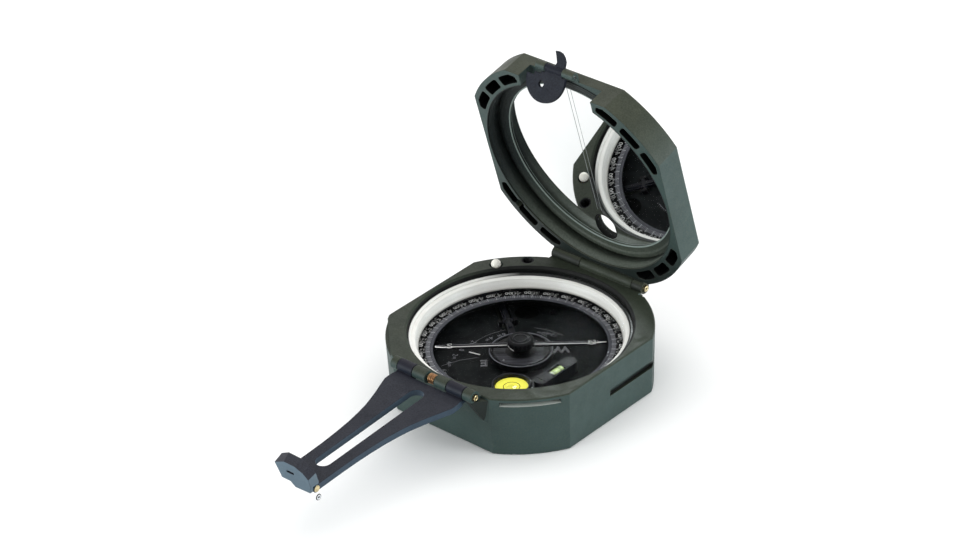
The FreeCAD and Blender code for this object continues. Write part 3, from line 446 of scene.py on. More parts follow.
def lid_extra(k, c):
    """The pockets of the rim are made black all over, a painted shade in their depth."""
    s = k.add("ShaderNodeSeparateXYZ")
    k.link(k.coord, s.inputs[0])
    x, y, z = s.outputs[0], s.outputs[1], s.outputs[2]
    c75, s75 = math.cos(math.radians(75)), math.sin(math.radians(75))
    dy, dz = k.math("SUBTRACT", y, 0.038), k.math("SUBTRACT", z, 0.01994)
    yc = k.math("ADD", 0.038, k.math("SUBTRACT", k.math("MULTIPLY", dy, c75), k.math("MULTIPLY", dz, s75)))
    zc = k.math("ADD", 0.01994, k.math("ADD", k.math("MULTIPLY", dy, s75), k.math("MULTIPLY", dz, c75)))
    r = k.math("SQRT", k.math("ADD", k.math("MULTIPLY", x, x), k.math("MULTIPLY", yc, yc)))
    ax_, ay_ = k.math("ABSOLUTE", x), k.math("ABSOLUTE", yc)
    m = k.ramp(zc, 0.01958, 0.0197)
    for src, lo, hi in ((zc, 0.02455, 0.02445), (r, 0.03485, 0.0349), (r, 0.03822, 0.03816), (ax_, 0.03395, 0.03385), (ay_, 0.03395, 0.03385), (k.math("MINIMUM", ax_, ay_), 0.0139, 0.0141)):
        m = k.math("MULTIPLY", m, k.ramp(src, lo, hi))
    # not in the small recess over the lift pin
    px_, py_ = k.math("ADD", x, 0.0284), k.math("SUBTRACT", yc, 0.0218)
    d = k.math("SQRT", k.math("ADD", k.math("MULTIPLY", px_, px_), k.math("MULTIPLY", py_, py_)))
    m = k.math("MULTIPLY", m, k.ramp(d, 0.00185, 0.0019))
    # the inside darkens higher up, and faces turned to the front darken towards the hinge, a painted shade
    n = k.add("ShaderNodeSeparateXYZ")
    k.link(k.add("ShaderNodeNewGeometry").outputs["Normal"], n.inputs[0])
    rc = k.math("SQRT", k.math("ADD", k.math("MULTIPLY", x, x), k.math("MULTIPLY", yc, yc)))
    inner_dark_high = k.math("MULTIPLY", k.ramp(rc, 0.0342, 0.0339), k.ramp(z, 0.030, 0.052, 0.25, 0.85))
    zc = k.math("ADD", 0.01994, k.math("ADD", k.math("MULTIPLY", dy, s75), k.math("MULTIPLY", dz, c75)))
    inner_dark_high = k.math("MULTIPLY", inner_dark_high, k.ramp(zc, 0.0272, 0.0268))
    c = k.mix(inner_dark_high, c, srgb(12, 15, 15))
    # painted shade near the hinge on the faces turned to the front
    low = k.math("MULTIPLY", k.ramp(z, 0.050, 0.030), k.ramp(n.outputs[1], -0.5, -0.8))
    c = k.mix(k.math("MULTIPLY", low, 0.8), c, srgb(18, 22, 20))
    return k.mix(m, c, srgb(2, 3, 3))


# the side colours of the lid and case paints below are painted light on their upright faces
LIDP = painted("lid_paint", srgb(33, 38, 28), srgb(54, 57, 44), srgb(88, 94, 82), rough=(0.42, 0.58), spec=0.22, bump=0.3, wear=0.35,
               side_light=(srgb(40, 57, 57), srgb(48, 66, 66)), hinge=True, extra=lid_extra)
LIDP = painted("lid_paint", srgb(33, 38, 28), srgb(54, 57, 44), srgb(88, 94, 82), rough=(0.42, 0.58), spec=0.22, bump=0.3, wear=0.35,
               side_light=(srgb(40, 57, 57), srgb(48, 66, 66)), hinge=True, extra=lid_extra)
LIDP = painted("lid_paint", srgb(33, 38, 28), srgb(54, 57, 44), srgb(88, 94, 82), rough=(0.42, 0.58), spec=0.22, bump=0.3, wear=0.35,
               side_light=(srgb(40, 57, 57), srgb(48, 66, 66)), hinge=True, extra=lid_extra)
LIDP = painted("lid_paint", srgb(33, 38, 28), srgb(54, 57, 44), srgb(88, 94, 82), rough=(0.42, 0.58), spec=0.22, bump=0.3, wear=0.35,
               side_light=(srgb(40, 57, 57), srgb(48, 66, 66)), hinge=True, extra=lid_extra)
LIDP = painted("lid_paint", srgb(33, 38, 28), srgb(54, 57, 44), srgb(88, 94, 82), rough=(0.42, 0.58), spec=0.22, bump=0.3, wear=0.35,
               side_light=(srgb(40, 57, 57), srgb(48, 66, 66)), hinge=True, extra=lid_extra)
LIDP = painted("lid_paint", srgb(33, 38, 28), srgb(54, 57, 44), srgb(88, 94, 82), rough=(0.42, 0.58), spec=0.22, bump=0.3, wear=0.35,
               side_light=(srgb(40, 57, 57), srgb(48, 66, 66)), hinge=True, extra=lid_extra)
LIDP = painted("lid_paint", srgb(33, 38, 28), srgb(54, 57, 44), srgb(88, 94, 82), rough=(0.42, 0.58), spec=0.22, bump=0.3, wear=0.35,
               side_light=(srgb(40, 57, 57), srgb(48, 66, 66)), hinge=True, extra=lid_extra)
LIDP = painted("lid_paint", srgb(33, 38, 28), srgb(54, 57, 44), srgb(88, 94, 82), rough=(0.42, 0.58), spec=0.22, bump=0.3, wear=0.35,
               side_light=(srgb(40, 57, 57), srgb(48, 66, 66)), hinge=True, extra=lid_extra)
CASE = painted("case_paint", srgb(31, 37, 28), srgb(41, 46, 35), srgb(78, 86, 74), rough=(0.42, 0.58), spec=0.22, bump=0.3, wear=0.35,
               side_light=(srgb(40, 57, 57), srgb(48, 66, 66)), hinge=True, extra=case_extra)
def arm_extra(k, c):
    """The hinge knuckles keep the dark colour all round."""
    s = k.add("ShaderNodeSeparateXYZ")
    k.link(k.coord, s.inputs[0])
    m = k.math("MULTIPLY", k.ramp(s.outputs[1], -0.0402, -0.0397), k.ramp(s.outputs[2], 0.0179, 0.0183))
    return k.mix(k.math("MULTIPLY", m, 0.8), c, srgb(26, 26, 36))


# the side colours of the arm and peep paints below are painted light on their upright faces
ARM_M = painted("arm_paint", srgb(20, 21, 30), srgb(29, 30, 39), srgb(66, 70, 80), rough=(0.4, 0.55), spec=0.14, grain=2200.0, bump=0.2, wear=0.3,
                side_light=(srgb(42, 56, 68), srgb(52, 68, 82)), span=(0.3, 0.8), extra=arm_extra)
PEEP_M = painted("peep_paint", srgb(24, 24, 32), srgb(34, 33, 41), srgb(70, 76, 88), rough=(0.4, 0.55), spec=0.22, grain=2200.0, bump=0.2, wear=0.3,
                 side_light=(srgb(74, 92, 104), srgb(88, 106, 118)), span=(0.3, 0.6))
SIGHT = painted("sight_paint", srgb(14, 15, 23), srgb(22, 23, 32), srgb(54, 60, 72), rough=(0.4, 0.55), spec=0.1, grain=2200.0, bump=0.2, wear=0.3)
BORE = painted("lid_bore_paint", srgb(12, 15, 16), srgb(22, 26, 27), srgb(70, 82, 80), rough=(0.45, 0.6), spec=0.2, wear=0.5, extra=bore_extra)
BRASS = metal("brass", srgb(232, 218, 178), srgb(196, 176, 124), rough=(0.22, 0.42), stain=srgb(96, 80, 54))
COPPER = metal("copper_wire", srgb(206, 166, 124), srgb(150, 108, 74), rough=(0.25, 0.45), stain=srgb(52, 34, 24))
STEEL = metal("steel", srgb(175, 178, 180), srgb(120, 122, 124), rough=(0.2, 0.4))
BLACK = lacquer("black_lacquer", srgb(6, 6, 8), srgb(12, 12, 15), spec=0.16, worn=srgb(44, 46, 52))
BRACKET = lacquer("bracket_lacquer", srgb(8, 9, 13), srgb(18, 19, 26), rough=(0.4, 0.55), spec=0.18, worn=srgb(52, 56, 72))
FLOOR_P = lacquer("floor_plate", srgb(8, 10, 12), srgb(17, 20, 22), rough=(0.55, 0.75), spec=0.08, bump=0.05, extra=floor_extra)
RING_G = lacquer("ring_grey", srgb(62, 63, 69), srgb(78, 79, 85), rough=(0.45, 0.6), spec=0.12, extra=ring_extra)
BAND = lacquer("number_band", srgb(4, 4, 5), srgb(9, 9, 10), rough=(0.5, 0.65), spec=0.08, bump=0.05)
def retain_extra(k, c):
    """White over the inner part of the ring's top on the front half only, a painted light; black outside."""
    r, s = radius_of(k)
    x, y = s.outputs[0], s.outputs[1]
    # only the front half goes white: painted light on one side
    side_light = k.ramp(k.math("ADD", y, k.math("MULTIPLY", x, 0.6)), 0.012, -0.004)
    m = k.math("MULTIPLY", k.ramp(r, 0.0329, 0.0328), side_light)
    return k.mix(m, c, srgb(238, 237, 233))


RETAIN = lacquer("retaining_ring", srgb(4, 5, 5), srgb(12, 14, 14), rough=(0.25, 0.4), spec=0.3, worn=srgb(150, 158, 156), bevel=0.00015, extra=retain_extra)
RUBBER = lacquer("gasket", srgb(244, 243, 239), srgb(232, 230, 225), rough=(0.5, 0.65), spec=0.25)
MARK = lacquer("white_marks", srgb(246, 246, 244), srgb(226, 226, 224), rough=(0.5, 0.65), spec=0.3)
MARK_DIM = lacquer("grey_marks", srgb(104, 106, 112), srgb(132, 133, 138), rough=(0.5, 0.65), spec=0.3)
POCKET = lacquer("pocket_black", srgb(5, 6, 6), srgb(11, 12, 12), rough=(0.7, 0.85), spec=0.1)


def white_ring_extra(k, c):
    r, s = radius_of(k)
    # greyer towards the foot of the slope, with faint turned lines
    low = k.ramp(s.outputs[2], 0.0138, 0.0153, 1.0, 0.0)
    c = k.mix(k.math("MULTIPLY", low, 0.7), c, srgb(196, 193, 185))
    turned = k.noise(1.0, 2.0, 0.5, vec=None, stretch=(1, 1, 9000.0))
    c = k.mix(k.ramp(turned, 0.4, 0.7, 0.0, 0.12), c, srgb(190, 188, 180))
    # black below the slope's foot: painted shade under the lip
    return k.mix(k.ramp(s.outputs[2], 0.01374, 0.01368), c, srgb(3, 3, 4))


WHITE = lacquer("white_enamel", srgb(244, 243, 240), srgb(236, 235, 230), rough=(0.28, 0.4), spec=0.45, grain=900.0, bump=0.04, extra=white_ring_extra, bevel=0.0002)


def ball_mat():
    k = Mat("white_ball")
    c = k.mix(k.ramp(k.noise(300.0, 3.0), 0.3, 0.7), srgb(244, 242, 236), srgb(226, 222, 210))
    _, s = radius_of(k)
    c = k.mix(k.ramp(s.outputs[2], 0.0186, 0.0192, 0.65, 0.0), c, srgb(150, 120, 92))
    k.colour(c).rough(k.ramp(k.noise(600.0), 0.3, 0.7, 0.22, 0.34))
    k.set(Specular_IOR_Level=0.5)
    k.bump(k.noise(900.0), 0.05, 0.00002)
    return k.m


BALL = ball_mat()


def glass(name, tint, alpha, rough, dust=0.03):
    k = Mat(name)
    c = k.mix(k.ramp(k.noise(120.0, 3.0), 0.3, 0.7), tint, srgb(60, 66, 64))
    k.colour(c)
    k.rough(k.ramp(k.noise(220.0, 5.0, 0.7), 0.4, 0.75, rough, rough + 0.1))
    a = k.ramp(k.noise(420.0, 6.0, 0.75), 0.5, 0.8, alpha, alpha + dust)
    k.link(a, k.p.inputs["Alpha"])
    k.set(Specular_IOR_Level=0.4, IOR=1.5)
    return k.m


GLASS = glass("window_glass", srgb(24, 27, 30), 0.008, 0.02, 0.012)
LENS = glass("level_lens", srgb(60, 62, 40), 0.02, 0.03, 0.01)
PANE = glass("lid_pane", srgb(200, 208, 206), 0.04, 0.03, 0.02)


def mirror_mat():
    k = Mat("silvered_glass")
    c = k.mix(k.ramp(k.noise(40.0, 4.0), 0.3, 0.7), (0.90, 0.92, 0.92, 1), (0.94, 0.955, 0.955, 1))
    k.colour(c)
    k.rough(k.ramp(k.noise(500.0, 6.0, 0.75), 0.62, 0.8, 0.012, 0.06))
    k.set(Metallic=1.0)
    return k.m


MIRROR = mirror_mat()


def yellow_mat():
    k = Mat("level_yellow")
    c = k.mix(k.ramp(k.noise(200.0, 3.0), 0.3, 0.7), srgb(250, 244, 52), srgb(240, 232, 30))
    k.colour(c).rough(k.ramp(k.noise(700.0), 0.3, 0.7, 0.3, 0.45))
    # a faint glow: painted light, keeps the dial bright down in its cup
    k.set(Specular_IOR_Level=0.4, Emission_Color=srgb(255, 252, 130), Emission_Strength=0.36)
    k.bump(k.noise(1500.0), 0.05, 0.00002)
    return k.m


YELLOW = yellow_mat()


def fluid_mat():
    k = Mat("vial_fluid")
    c = k.mix(k.ramp(k.noise(260.0, 3.0, stretch=(1, 0.3, 1)), 0.35, 0.65), srgb(196, 222, 140), srgb(172, 204, 116))
    k.colour(c).rough(k.ramp(k.noise(500.0), 0.3, 0.7, 0.1, 0.2))
    k.set(Specular_IOR_Level=0.6)
    k.bump(k.noise(700.0), 0.03, 0.00002)
    return k.m


FLUID = fluid_mat()


def index_mat():
    k = Mat("index_plate")
    q = k.add("ShaderNodeSeparateXYZ")
    k.link(k.coord, q.inputs[0])
    x, y = q.outputs[0], q.outputs[1]
    across = k.math("ADD", k.math("MULTIPLY", x, -0.66), k.math("MULTIPLY", y, 0.75))
    along_ = k.math("ADD", k.math("MULTIPLY", x, 0.75), k.math("MULTIPLY", y, 0.66))
    cm = k.add("ShaderNodeCombineXYZ")
    k.link(k.math("MULTIPLY", along_, 120.0), cm.inputs[0])
    k.link(k.math("MULTIPLY", across, 1900.0), cm.inputs[1])
    n = k.add("ShaderNodeTexNoise")
    n.inputs["Scale"].default_value = 1.0
    n.inputs["Detail"].default_value = 3.0
    k.link(cm.outputs[0], n.inputs["Vector"])
    lines = n.outputs["Fac"]
    c = k.mix(k.ramp(lines, 0.38, 0.6), srgb(24, 25, 30), srgb(66, 66, 72))
    r = k.math("SQRT", k.math("ADD", k.math("MULTIPLY", x, x), k.math("MULTIPLY", y, y)))
    # the black U round the pivot is the hub recess with the cap's shadow painted in
    dark = k.math("MAXIMUM", k.ramp(r, 0.0047, 0.0045), k.ramp(along_, 0.0066, 0.0068))
    dark = k.math("MAXIMUM", dark, k.ramp(across, 0.0012, 0.0018))
    c = k.mix(dark, c, srgb(5, 5, 7))
    k.colour(c).rough(k.ramp(lines, 0.3, 0.7, 0.35, 0.55))
    k.set(Metallic=0.1, Specular_IOR_Level=0.25)
    k.bump(lines, 0.1, 0.00002)
    return k.m


INDEX = index_mat()

ASSIGN = {
    "case_body": CASE, "lid_shell": LIDP, "sight_arm": ARM_M, "peep_sight": PEEP_M, "front_sight": SIGHT,
    "white_ring": WHITE, "window_glass": GLASS, "glass_gasket": RUBBER, "retaining_ring": RETAIN,
    "floor_plate": FLOOR_P, "floor_screws": BLACK, "azimuth_ring": RING_G, "adjuster_screw": CASE,
    "compass_needle": BLACK, "needle_cap": BLACK, "clinometer_shaft": STEEL, "level_bracket": BLACK,
    "clinometer_hub": BLACK, "index_plate": INDEX, "needle_pivot": BLACK, "circular_level_cup": BRACKET,
    "circular_level_dial": YELLOW, "circular_level_lens": LENS, "tube_level_holder": BRACKET,
    "tube_level_vial": FLUID, "thumb_lever": BLACK, "shaft_screw": STEEL, "lift_pin": BALL,
    "lift_pin_bush": BRASS, "lift_spring": STEEL, "lift_lever": BRACKET, "lever_pivot": BLACK,
    "socket_insert": BLACK, "arm_hinge_pin": BRASS, "lid_hinge_pin": BRASS, "arm_spring": COPPER,
    "mirror": MIRROR, "mirror_ring": BORE, "sight_window": PANE, "front_sight_pin": STEEL, "peep_pin": BRASS,
}
for n, o in NODES.items():
    m = ASSIGN.get(n, BLACK)
    o.data.materials.clear()
    o.data.materials.append(m)

# ------------------------------------------------------------------ azimuth dial
BANDR = Shape()
BANDR.lathe([(28.17, 12.44), (30.98, 12.44), (30.98, 12.5), (28.17, 12.5)], seg=180)
BANDR.build("number_band", BAND, "azimuth_ring", "black_metal")
grey = Shape()
grey.lathe([(25.93, 12.36), (28.19, 12.36), (28.19, 12.49), (26.08, 12.49), (25.93, 12.43)], seg=180)
grey.build("graduation_ring", RING_G, "azimuth_ring", "ring_grey")
ticks, fine_t, nums = Shape(), Shape(), Shape()
for i in range(320):
    a = -90.0 + 360.0 * i / 320.0
    if i % 5:
        fine_t.line([polar(26.9, a), polar(28.2, a)], 0.17, 12.48, 12.505)
    else:
        ticks.line([polar(26.9, a), polar(28.5, a)], 0.18, 12.48, 12.512)
for i in range(32):
    mils = 6400 if i == 0 else i * 200
    a = -90.0 + mils * 360.0 / 6400.0
    text = str(mils)
    big, small = text[:-2], "00"
    # the numbers stand with their tops to the middle, and run round anticlockwise
    wide = 1.38 * len(big)

    def turn(off):
        return a + math.degrees(off / 29.4)

    x, y = polar(29.62, turn(-0.75))
    for e in (-0.03, 0.03):
        put_text(nums, big, 2.9, x + e, y + e, 12.508, turn(-0.75) + 90.0, sx=1.0)
    x, y = polar(29.78, turn(-0.75 + wide / 2.0 + 0.95))
    put_text(nums, small, 1.95, x, y, 12.508, turn(-0.75 + wide / 2.0 + 0.95) + 90.0, sx=1.1)
ticks.build("dial_ticks_long", lacquer("tick_grey", srgb(196, 197, 200), srgb(214, 215, 218), rough=(0.5, 0.6), spec=0.1), "azimuth_ring", "white_enamel", fix=False)
fine_t.build("dial_ticks_fine", lacquer("tick_fine", srgb(138, 139, 144), srgb(156, 157, 162), rough=(0.5, 0.6), spec=0.1), "azimuth_ring", "ring_grey", fix=False)
nums.build("dial_numbers", MARK, "azimuth_ring", "white_enamel", fix=False)

# ------------------------------------------------------------------ scales on the floor plate
fl = Shape()
Z7 = 7.62
for t, a, r in (("12", 93.5, 16.2), ("10", 103.5, 15.6), ("6", 151.0, 15.1), ("4", 167.0, 15.3), ("2", 184.5, 17.7), ("0", 201.8, 18.9), ("2", 210.7, 20.0), ("4", 222.2, 21.4), ("6", 232.5, 23.4)):
    x, y = polar(r, a)
    put_text(fl, t, 2.3, x, y, Z7, a + 90.0)
    if t != "0":
        da = math.degrees((1.5 if len(t) == 1 else 2.0) / r)
        x, y = polar(r, a + da)
        put_text(fl, "00", 1.3, x, y, Z7, a + da + 90.0)
fl.line([polar(17.6, 86.0 + 2.0 * i) for i in range(16)], 0.1, 7.58, 7.61)
fl.line([polar(17.2, 146.0 + 2.0 * i) for i in range(24)], 0.1, 7.58, 7.61)
fl.line([(-11.0, -7.2), (-14.2, -11.6), (-16.4, -17.0)], 0.14, 7.58, 7.61)
fl.line([polar(21.0, 8.0), polar(24.2, -4.0), polar(25.6, -16.0)], 0.12, 7.58, 7.61)
for i in range(0, 12):
    a = 88.0 + i * 2.7
    fl.line([polar(17.6, a), polar(18.1, a)], 0.09, 7.58, 7.61)
fl.build("floor_scale", MARK_DIM, "case", "white_enamel", fix=False)
dash = Shape()
dash.line([(-14.9, -6.43), (-11.4, -5.57)], 0.38, 7.58, 7.66)
dash.build("floor_index", MARK, "case", "white_enamel")
hollow = Shape()
put_text(hollow, "W", 4.6, 5.9, 11.4, 7.68, 222.0, outline=0.11)
put_text(hollow, "E", 4.6, -7.4, -8.2, 7.68, 222.0, outline=0.11)
hollow.build("floor_letters", lacquer("hollow_letter", srgb(150, 151, 155), srgb(168, 169, 173), rough=(0.5, 0.6), spec=0.1), "case", "white_enamel", fix=False)

# ------------------------------------------------------------------ needle
ZN = 12.95
NA = 40.6
u = Vector((math.cos(math.radians(NA)), math.sin(math.radians(NA))))
p = Vector((-u.y, u.x))


def along(t, off):
    q = u * t + p * off
    return (q.x, q.y)


def bow(t, off, r, a0, a1, n=10):
    """Arc round a letter seat, in needle coordinates."""
    return [along(t + r * math.cos(math.radians(a0 + (a1 - a0) * i / n)), off + r * math.sin(math.radians(a0 + (a1 - a0) * i / n))) for i in range(n + 1)]


near, far = Shape(), Shape()
near.line([along(-25.15, 0.3), along(-25.1, -0.45)], 0.34, ZN - 0.02, ZN + 0.045)
near.line([along(-25.2, -0.3), along(-22.6, -0.68)] + bow(-21.05, 0.29, 1.2, 222, 318) + [along(-19.4, -0.52), along(-3.3, -0.3)], 0.3, ZN - 0.02, ZN + 0.04,
          widths=[0.56, 0.46] + [0.42] * 11 + [0.3, 0.27])
near.line([along(4.0, -0.2), along(19.2, -0.5)] + bow(21.0, 0.18, 1.2, 222, 318) + [along(22.6, -0.3), along(25.2, 0.0)], 0.26, ZN - 0.02, ZN + 0.04,
          widths=[0.26, 0.24] + [0.26] * 11 + [0.3, 0.26])
near.line([along(22.7, 0.02), along(25.2, 0.02)], 0.2, ZN - 0.02, ZN + 0.045)
far.line([along(-25.1, 0.4), along(-22.5, 0.6), along(-19.4, 0.66), along(-3.3, 0.9)], 0.15, ZN - 0.02, ZN + 0.03)
far.line([along(4.0, 0.86), along(19.3, 0.6), along(22.6, 0.42)], 0.15, ZN - 0.02, ZN + 0.03)
near.build("needle_bright_line", MARK, "needle", "white_enamel", fix=False)
far.build("needle_dim_line", MARK_DIM, "needle", "white_enamel", fix=False)
seats = Shape()
for t, off in ((-21.05, 0.29), (21.0, 0.18)):
    x, y = along(t, off)
    seats.lathe([(0.05, ZN + 0.01), (1.25, ZN + 0.01), (1.25, ZN + 0.03), (0.05, ZN + 0.03)], Matrix.Translation((x * S, y * S, 0)), seg=40)
seats.build("needle_letter_seats", BLACK, "needle", "needle_paint", fix=False)
letters = Shape()
for t, off, ch in ((-21.05, 0.29, "S"), (21.0, 0.18, "N")):
    x, y = along(t, off)
    for e in (0.0, 0.13, -0.13):
        put_text(letters, ch, 3.0, x + e * u.x, y + e * u.y, ZN + 0.06, NA + 92.0 + 90.0, extrude=0.04)
letters.build("needle_letters", MARK, "needle", "white_enamel", fix=False)
# bright fleck on the cap's side, and its turned rings
fleck = Shape()
pts = []
for t in range(9):
    q = t / 8.0
    a = math.radians(-141.0 + q * 62.0)
    pts.append((3.99 * math.cos(a), 3.99 * math.sin(a), 13.9 - 1.05 * q))
vs, fs = [], []
for i, (x, y, z) in enumerate(pts):
    k = 1.006
    vs += [(x * S, y * S, (z + 0.14) * S), (x * S, y * S, (z - 0.14) * S), (x * k * S, y * k * S, (z - 0.14) * S), (x * k * S, y * k * S, (z + 0.14) * S)]
for i in range(8):
    a, b = 4 * i, 4 * (i + 1)
    for s in range(4):
        fs.append((a + s, b + s, b + (s + 1) % 4, a + (s + 1) % 4))
fs += [(0, 1, 2, 3), (32, 35, 34, 33)]
fleck.add(vs, fs)
fleck.build("cap_fleck", MARK, "needle", "white_enamel")
cap = Shape()
cap.lathe([(1.5, 15.03), (2.0, 15.12), (2.5, 15.03)], seg=64)
cap.lathe([(2.9, 15.03), (3.2, 15.1), (3.5, 15.03)], seg=64)
for i in range(18):
    a = i * 20.0
    cap.line([polar(3.93, a), polar(4.06, a)], 0.5, 13.3, 14.5)
cap.build("cap_knurl", BLACK, "needle", "needle_paint")
# ------------------------------------------------------------------ clinometer details
edge = Shape()
edge.lathe([(9.15, 10.98), (9.5, 10.98), (9.53, 11.06), (9.35, 11.12), (9.15, 11.06)], seg=120)
edge.build("hub_rim", lacquer("rim_grey", srgb(84, 86, 94), srgb(110, 112, 120), rough=(0.3, 0.45), spec=0.3), "clinometer", "black_metal")
dot = Shape()
dot.lathe([(0.0, 11.1), (0.22, 11.06), (0.32, 10.95), (0.32, 10.86), (0.0, 10.86)], Matrix.Translation((-0.35 * S, -7.35 * S, 0)), seg=20, closed_profile=False)
dot.build("index_dot", STEEL, "clinometer", "steel")
bx, by = 10.75, -16.55
mb = Matrix.Translation((bx * S, by * S, 0))
rings = Shape()
rings.lathe([(2.32, 10.86), (2.52, 10.86), (2.52, 10.895), (2.32, 10.895)], mb, seg=72)
rings.lathe([(4.85, 10.86), (5.02, 10.86), (5.02, 10.895), (4.85, 10.895)], mb, seg=72)
rings.build("circular_level_rings", BLACK, "clinometer", "black_metal")
bub = Shape()
prof = [(0.0, 11.32)] + [(1.55 * math.sin(math.radians(b)), 11.12 + 0.2 * math.cos(math.radians(b))) for b in range(15, 180, 15)] + [(0.0, 10.92)]
bub.lathe(prof, Matrix.Translation(((bx + 0.5) * S, (by - 0.6) * S, 0)), seg=48, closed_profile=False)
bub.build("circular_level_bubble", lacquer("bubble_yellow", srgb(252, 248, 90), srgb(246, 240, 64), rough=(0.1, 0.2), spec=0.5), "clinometer", "level_yellow")
crown = Shape()
crown.lathe([(5.12, 11.72), (5.9, 11.72), (5.86, 11.9), (5.5, 11.98), (5.16, 11.9)], mb, seg=96)
crown.build("circular_level_crown", BRACKET, "clinometer", "black_metal")
tx = 16.4
def vial_band(shape, y0, y1, r0, r1, b0, b1, n=14):
    """A curved strip over the top of the vial."""
    vs = []
    for yy in (y0, y1):
        for rr in (r0, r1):
            for i in range(n + 1):
                b = math.radians(b0 + (b1 - b0) * i / n)
                vs.append(((tx + rr * math.cos(b)) * S, yy * S, (10.6 + rr * math.sin(b)) * S))
    m = n + 1
    fs = []
    for i in range(n):
        fs += [(m + i, m + i + 1, 3 * m + i + 1, 3 * m + i), (i, m + i, m + i + 1, i + 1), (2 * m + i, 3 * m + i, 3 * m + i + 1, 2 * m + i + 1)]
    fs += [(0, 2 * m, 3 * m, m), (n, m + n, 3 * m + n, 2 * m + n)]
    shape.add(vs, fs)


marks = Shape()
for y in (-4.75, -4.4, -2.2, -1.85):
    vial_band(marks, y - 0.07, y + 0.07, 1.59, 1.63, 25, 155)
marks.build("vial_lines", BLACK, "clinometer", "black_metal", fix=False)
straps = Shape()
straps.line([(tx, -9.8), (tx, -5.7)], 3.5, 12.08, 12.26)
straps.line([(tx, -0.8), (tx, 2.6)], 3.5, 12.08, 12.26)
straps.build("vial_straps", BRACKET, "clinometer", "black_metal")
pale = Shape()
vial_band(pale, -5.68, -5.1, 1.55, 1.62, 5, 175)
pale.build("vial_pale_end", lacquer("vial_pale", srgb(205, 214, 196), srgb(182, 196, 170), rough=(0.2, 0.35), spec=0.5), "clinometer", "vial_green", fix=False)
shine = Shape()
vial_band(shine, -5.05, -0.85, 1.6, 1.622, 60, 78)
shine.build("vial_sheen", lacquer("vial_sheen", srgb(222, 240, 184), srgb(206, 230, 160), rough=(0.2, 0.3), spec=0.5), "clinometer", "vial_green", fix=False)
vb = Shape()
vb.lathe([(0.0, -1.0)] + [(0.45 * math.sin(math.radians(b)), -1.0 * math.cos(math.radians(b))) for b in range(12, 180, 12)] + [(0.0, 1.0)],
         Matrix.Translation((tx * S, -3.3 * S, 11.74 * S)) @ Matrix.Rotation(math.radians(90), 4, "X"), seg=32, closed_profile=False)
vb.build("vial_bubble", lacquer("vial_bubble", srgb(226, 242, 196), srgb(210, 232, 170), rough=(0.08, 0.15), spec=0.6), "clinometer", "vial_green")

# ------------------------------------------------------------------ lid details (made shut)
hair = Shape()
for x, w in ((-1.72, 0.16), (-0.28, 0.13)):
    hair.line([(x, -29.6), (x, 18.3)], w, 25.87, 25.9, LID)
hair.build("mirror_sight_lines", lacquer("etched_line", srgb(120, 126, 126), srgb(150, 155, 154), rough=(0.4, 0.6)), "lid", "steel")
lip = Shape()
lip.lathe([(33.62, 20.0), (33.8, 20.0), (33.8, 24.85), (33.7, 24.85)], LID, seg=160, a0=-60, a1=240)
lip.build("lid_bore_liner", BORE, "lid", "case_paint")
# a light teal line round the mirror's bezel: a painted highlight
bez = Shape()
bez.lathe([(29.98, 25.48), (30.3, 25.38), (30.45, 25.46), (30.3, 25.56), (29.98, 25.6)], LID, seg=160)
bez.build("mirror_bezel_edge", painted("bezel_edge", srgb(120, 132, 128), srgb(136, 148, 142), srgb(150, 166, 162), wear=0.5), "lid", "case_paint")
liner = Shape()
for q in range(4):
    for a0, a1 in ((24.4, 36.5), (39.2, 50.8), (53.5, 65.6)):
        # a black floor, a painted shade, lies in the bottom of every pocket, inside its rounded outline
        n = 10
        vs = []
        for i in range(n + 1):
            a = 90.0 * q + a0 + 0.35 + (a1 - a0 - 0.7) * i / n
            for r in (35.2, 37.8):
                x, y = polar(r, a)
                x, y = max(-33.45, min(33.45, x)), max(-33.45, min(33.45, y))
                for z in (24.3, 24.36):
                    vs.append((x * S, y * S, z * S))
        fs = []
        for i in range(n):
            b, d = 4 * i, 4 * (i + 1)
            fs += [(b, b + 2, d + 2, d), (b + 1, d + 1, d + 3, b + 3), (b, d, d + 1, b + 1), (b + 2, b + 3, d + 3, d + 2)]
        fs += [(0, 1, 3, 2), (4 * n, 4 * n + 2, 4 * n + 3, 4 * n + 1)]
        liner.add(vs, fs, LID)
liner.build("rim_pocket_floors", POCKET, "lid", "black_metal", fix=False)
# a black sleeve lines the sight window's bore: painted shade
wring = Shape()
pts = []
for i in range(24):
    a = i * 15.0
    x, y = polar(3.92, a)
    y += 23.9 if (180 < a < 360) else 25.3
    pts.append((x, y))
wring.line(pts, 0.26, 25.86, 28.3, LID, closed=True)
wring.build("sight_window_sleeve", POCKET, "lid", "black_metal")

# ------------------------------------------------------------------ white face by the glass, and pin heads
gl = Shape()
gl.lathe([(30.11, 13.72), (30.41, 14.32), (30.92, 15.1), (30.92, 16.25), (31.15, 16.42), (31.6, 16.5), (31.6, 14.9), (30.9, 14.5), (30.3, 13.72)], seg=180)
gl.build("reflector_face", lacquer("reflector_white", srgb(246, 245, 242), srgb(238, 237, 233), rough=(0.3, 0.42), spec=0.4, extra=white_ring_extra), "case", "gasket_rubber")
heads = Shape()
DARK = lacquer("rivet_dark", srgb(5, 5, 6), srgb(10, 10, 12), rough=(0.4, 0.6), spec=0.15)
m = Matrix.Translation((15.95 * S, -37.6 * S, 20.0 * S)) @ Matrix.Rotation(math.radians(90), 4, "Y")
heads.lathe([(0.42, 0.02), (0.46, 0.16), (0.62, 0.22), (0.86, 0.14), (0.9, -0.05), (0.42, -0.05)], m, seg=48)
heads.build("arm_pin_rivet", BRASS, "case", "brass")
h2 = Shape()
m2 = Matrix.Translation((16.95 * S, 38.0 * S, 19.94 * S)) @ Matrix.Rotation(math.radians(90), 4, "Y")
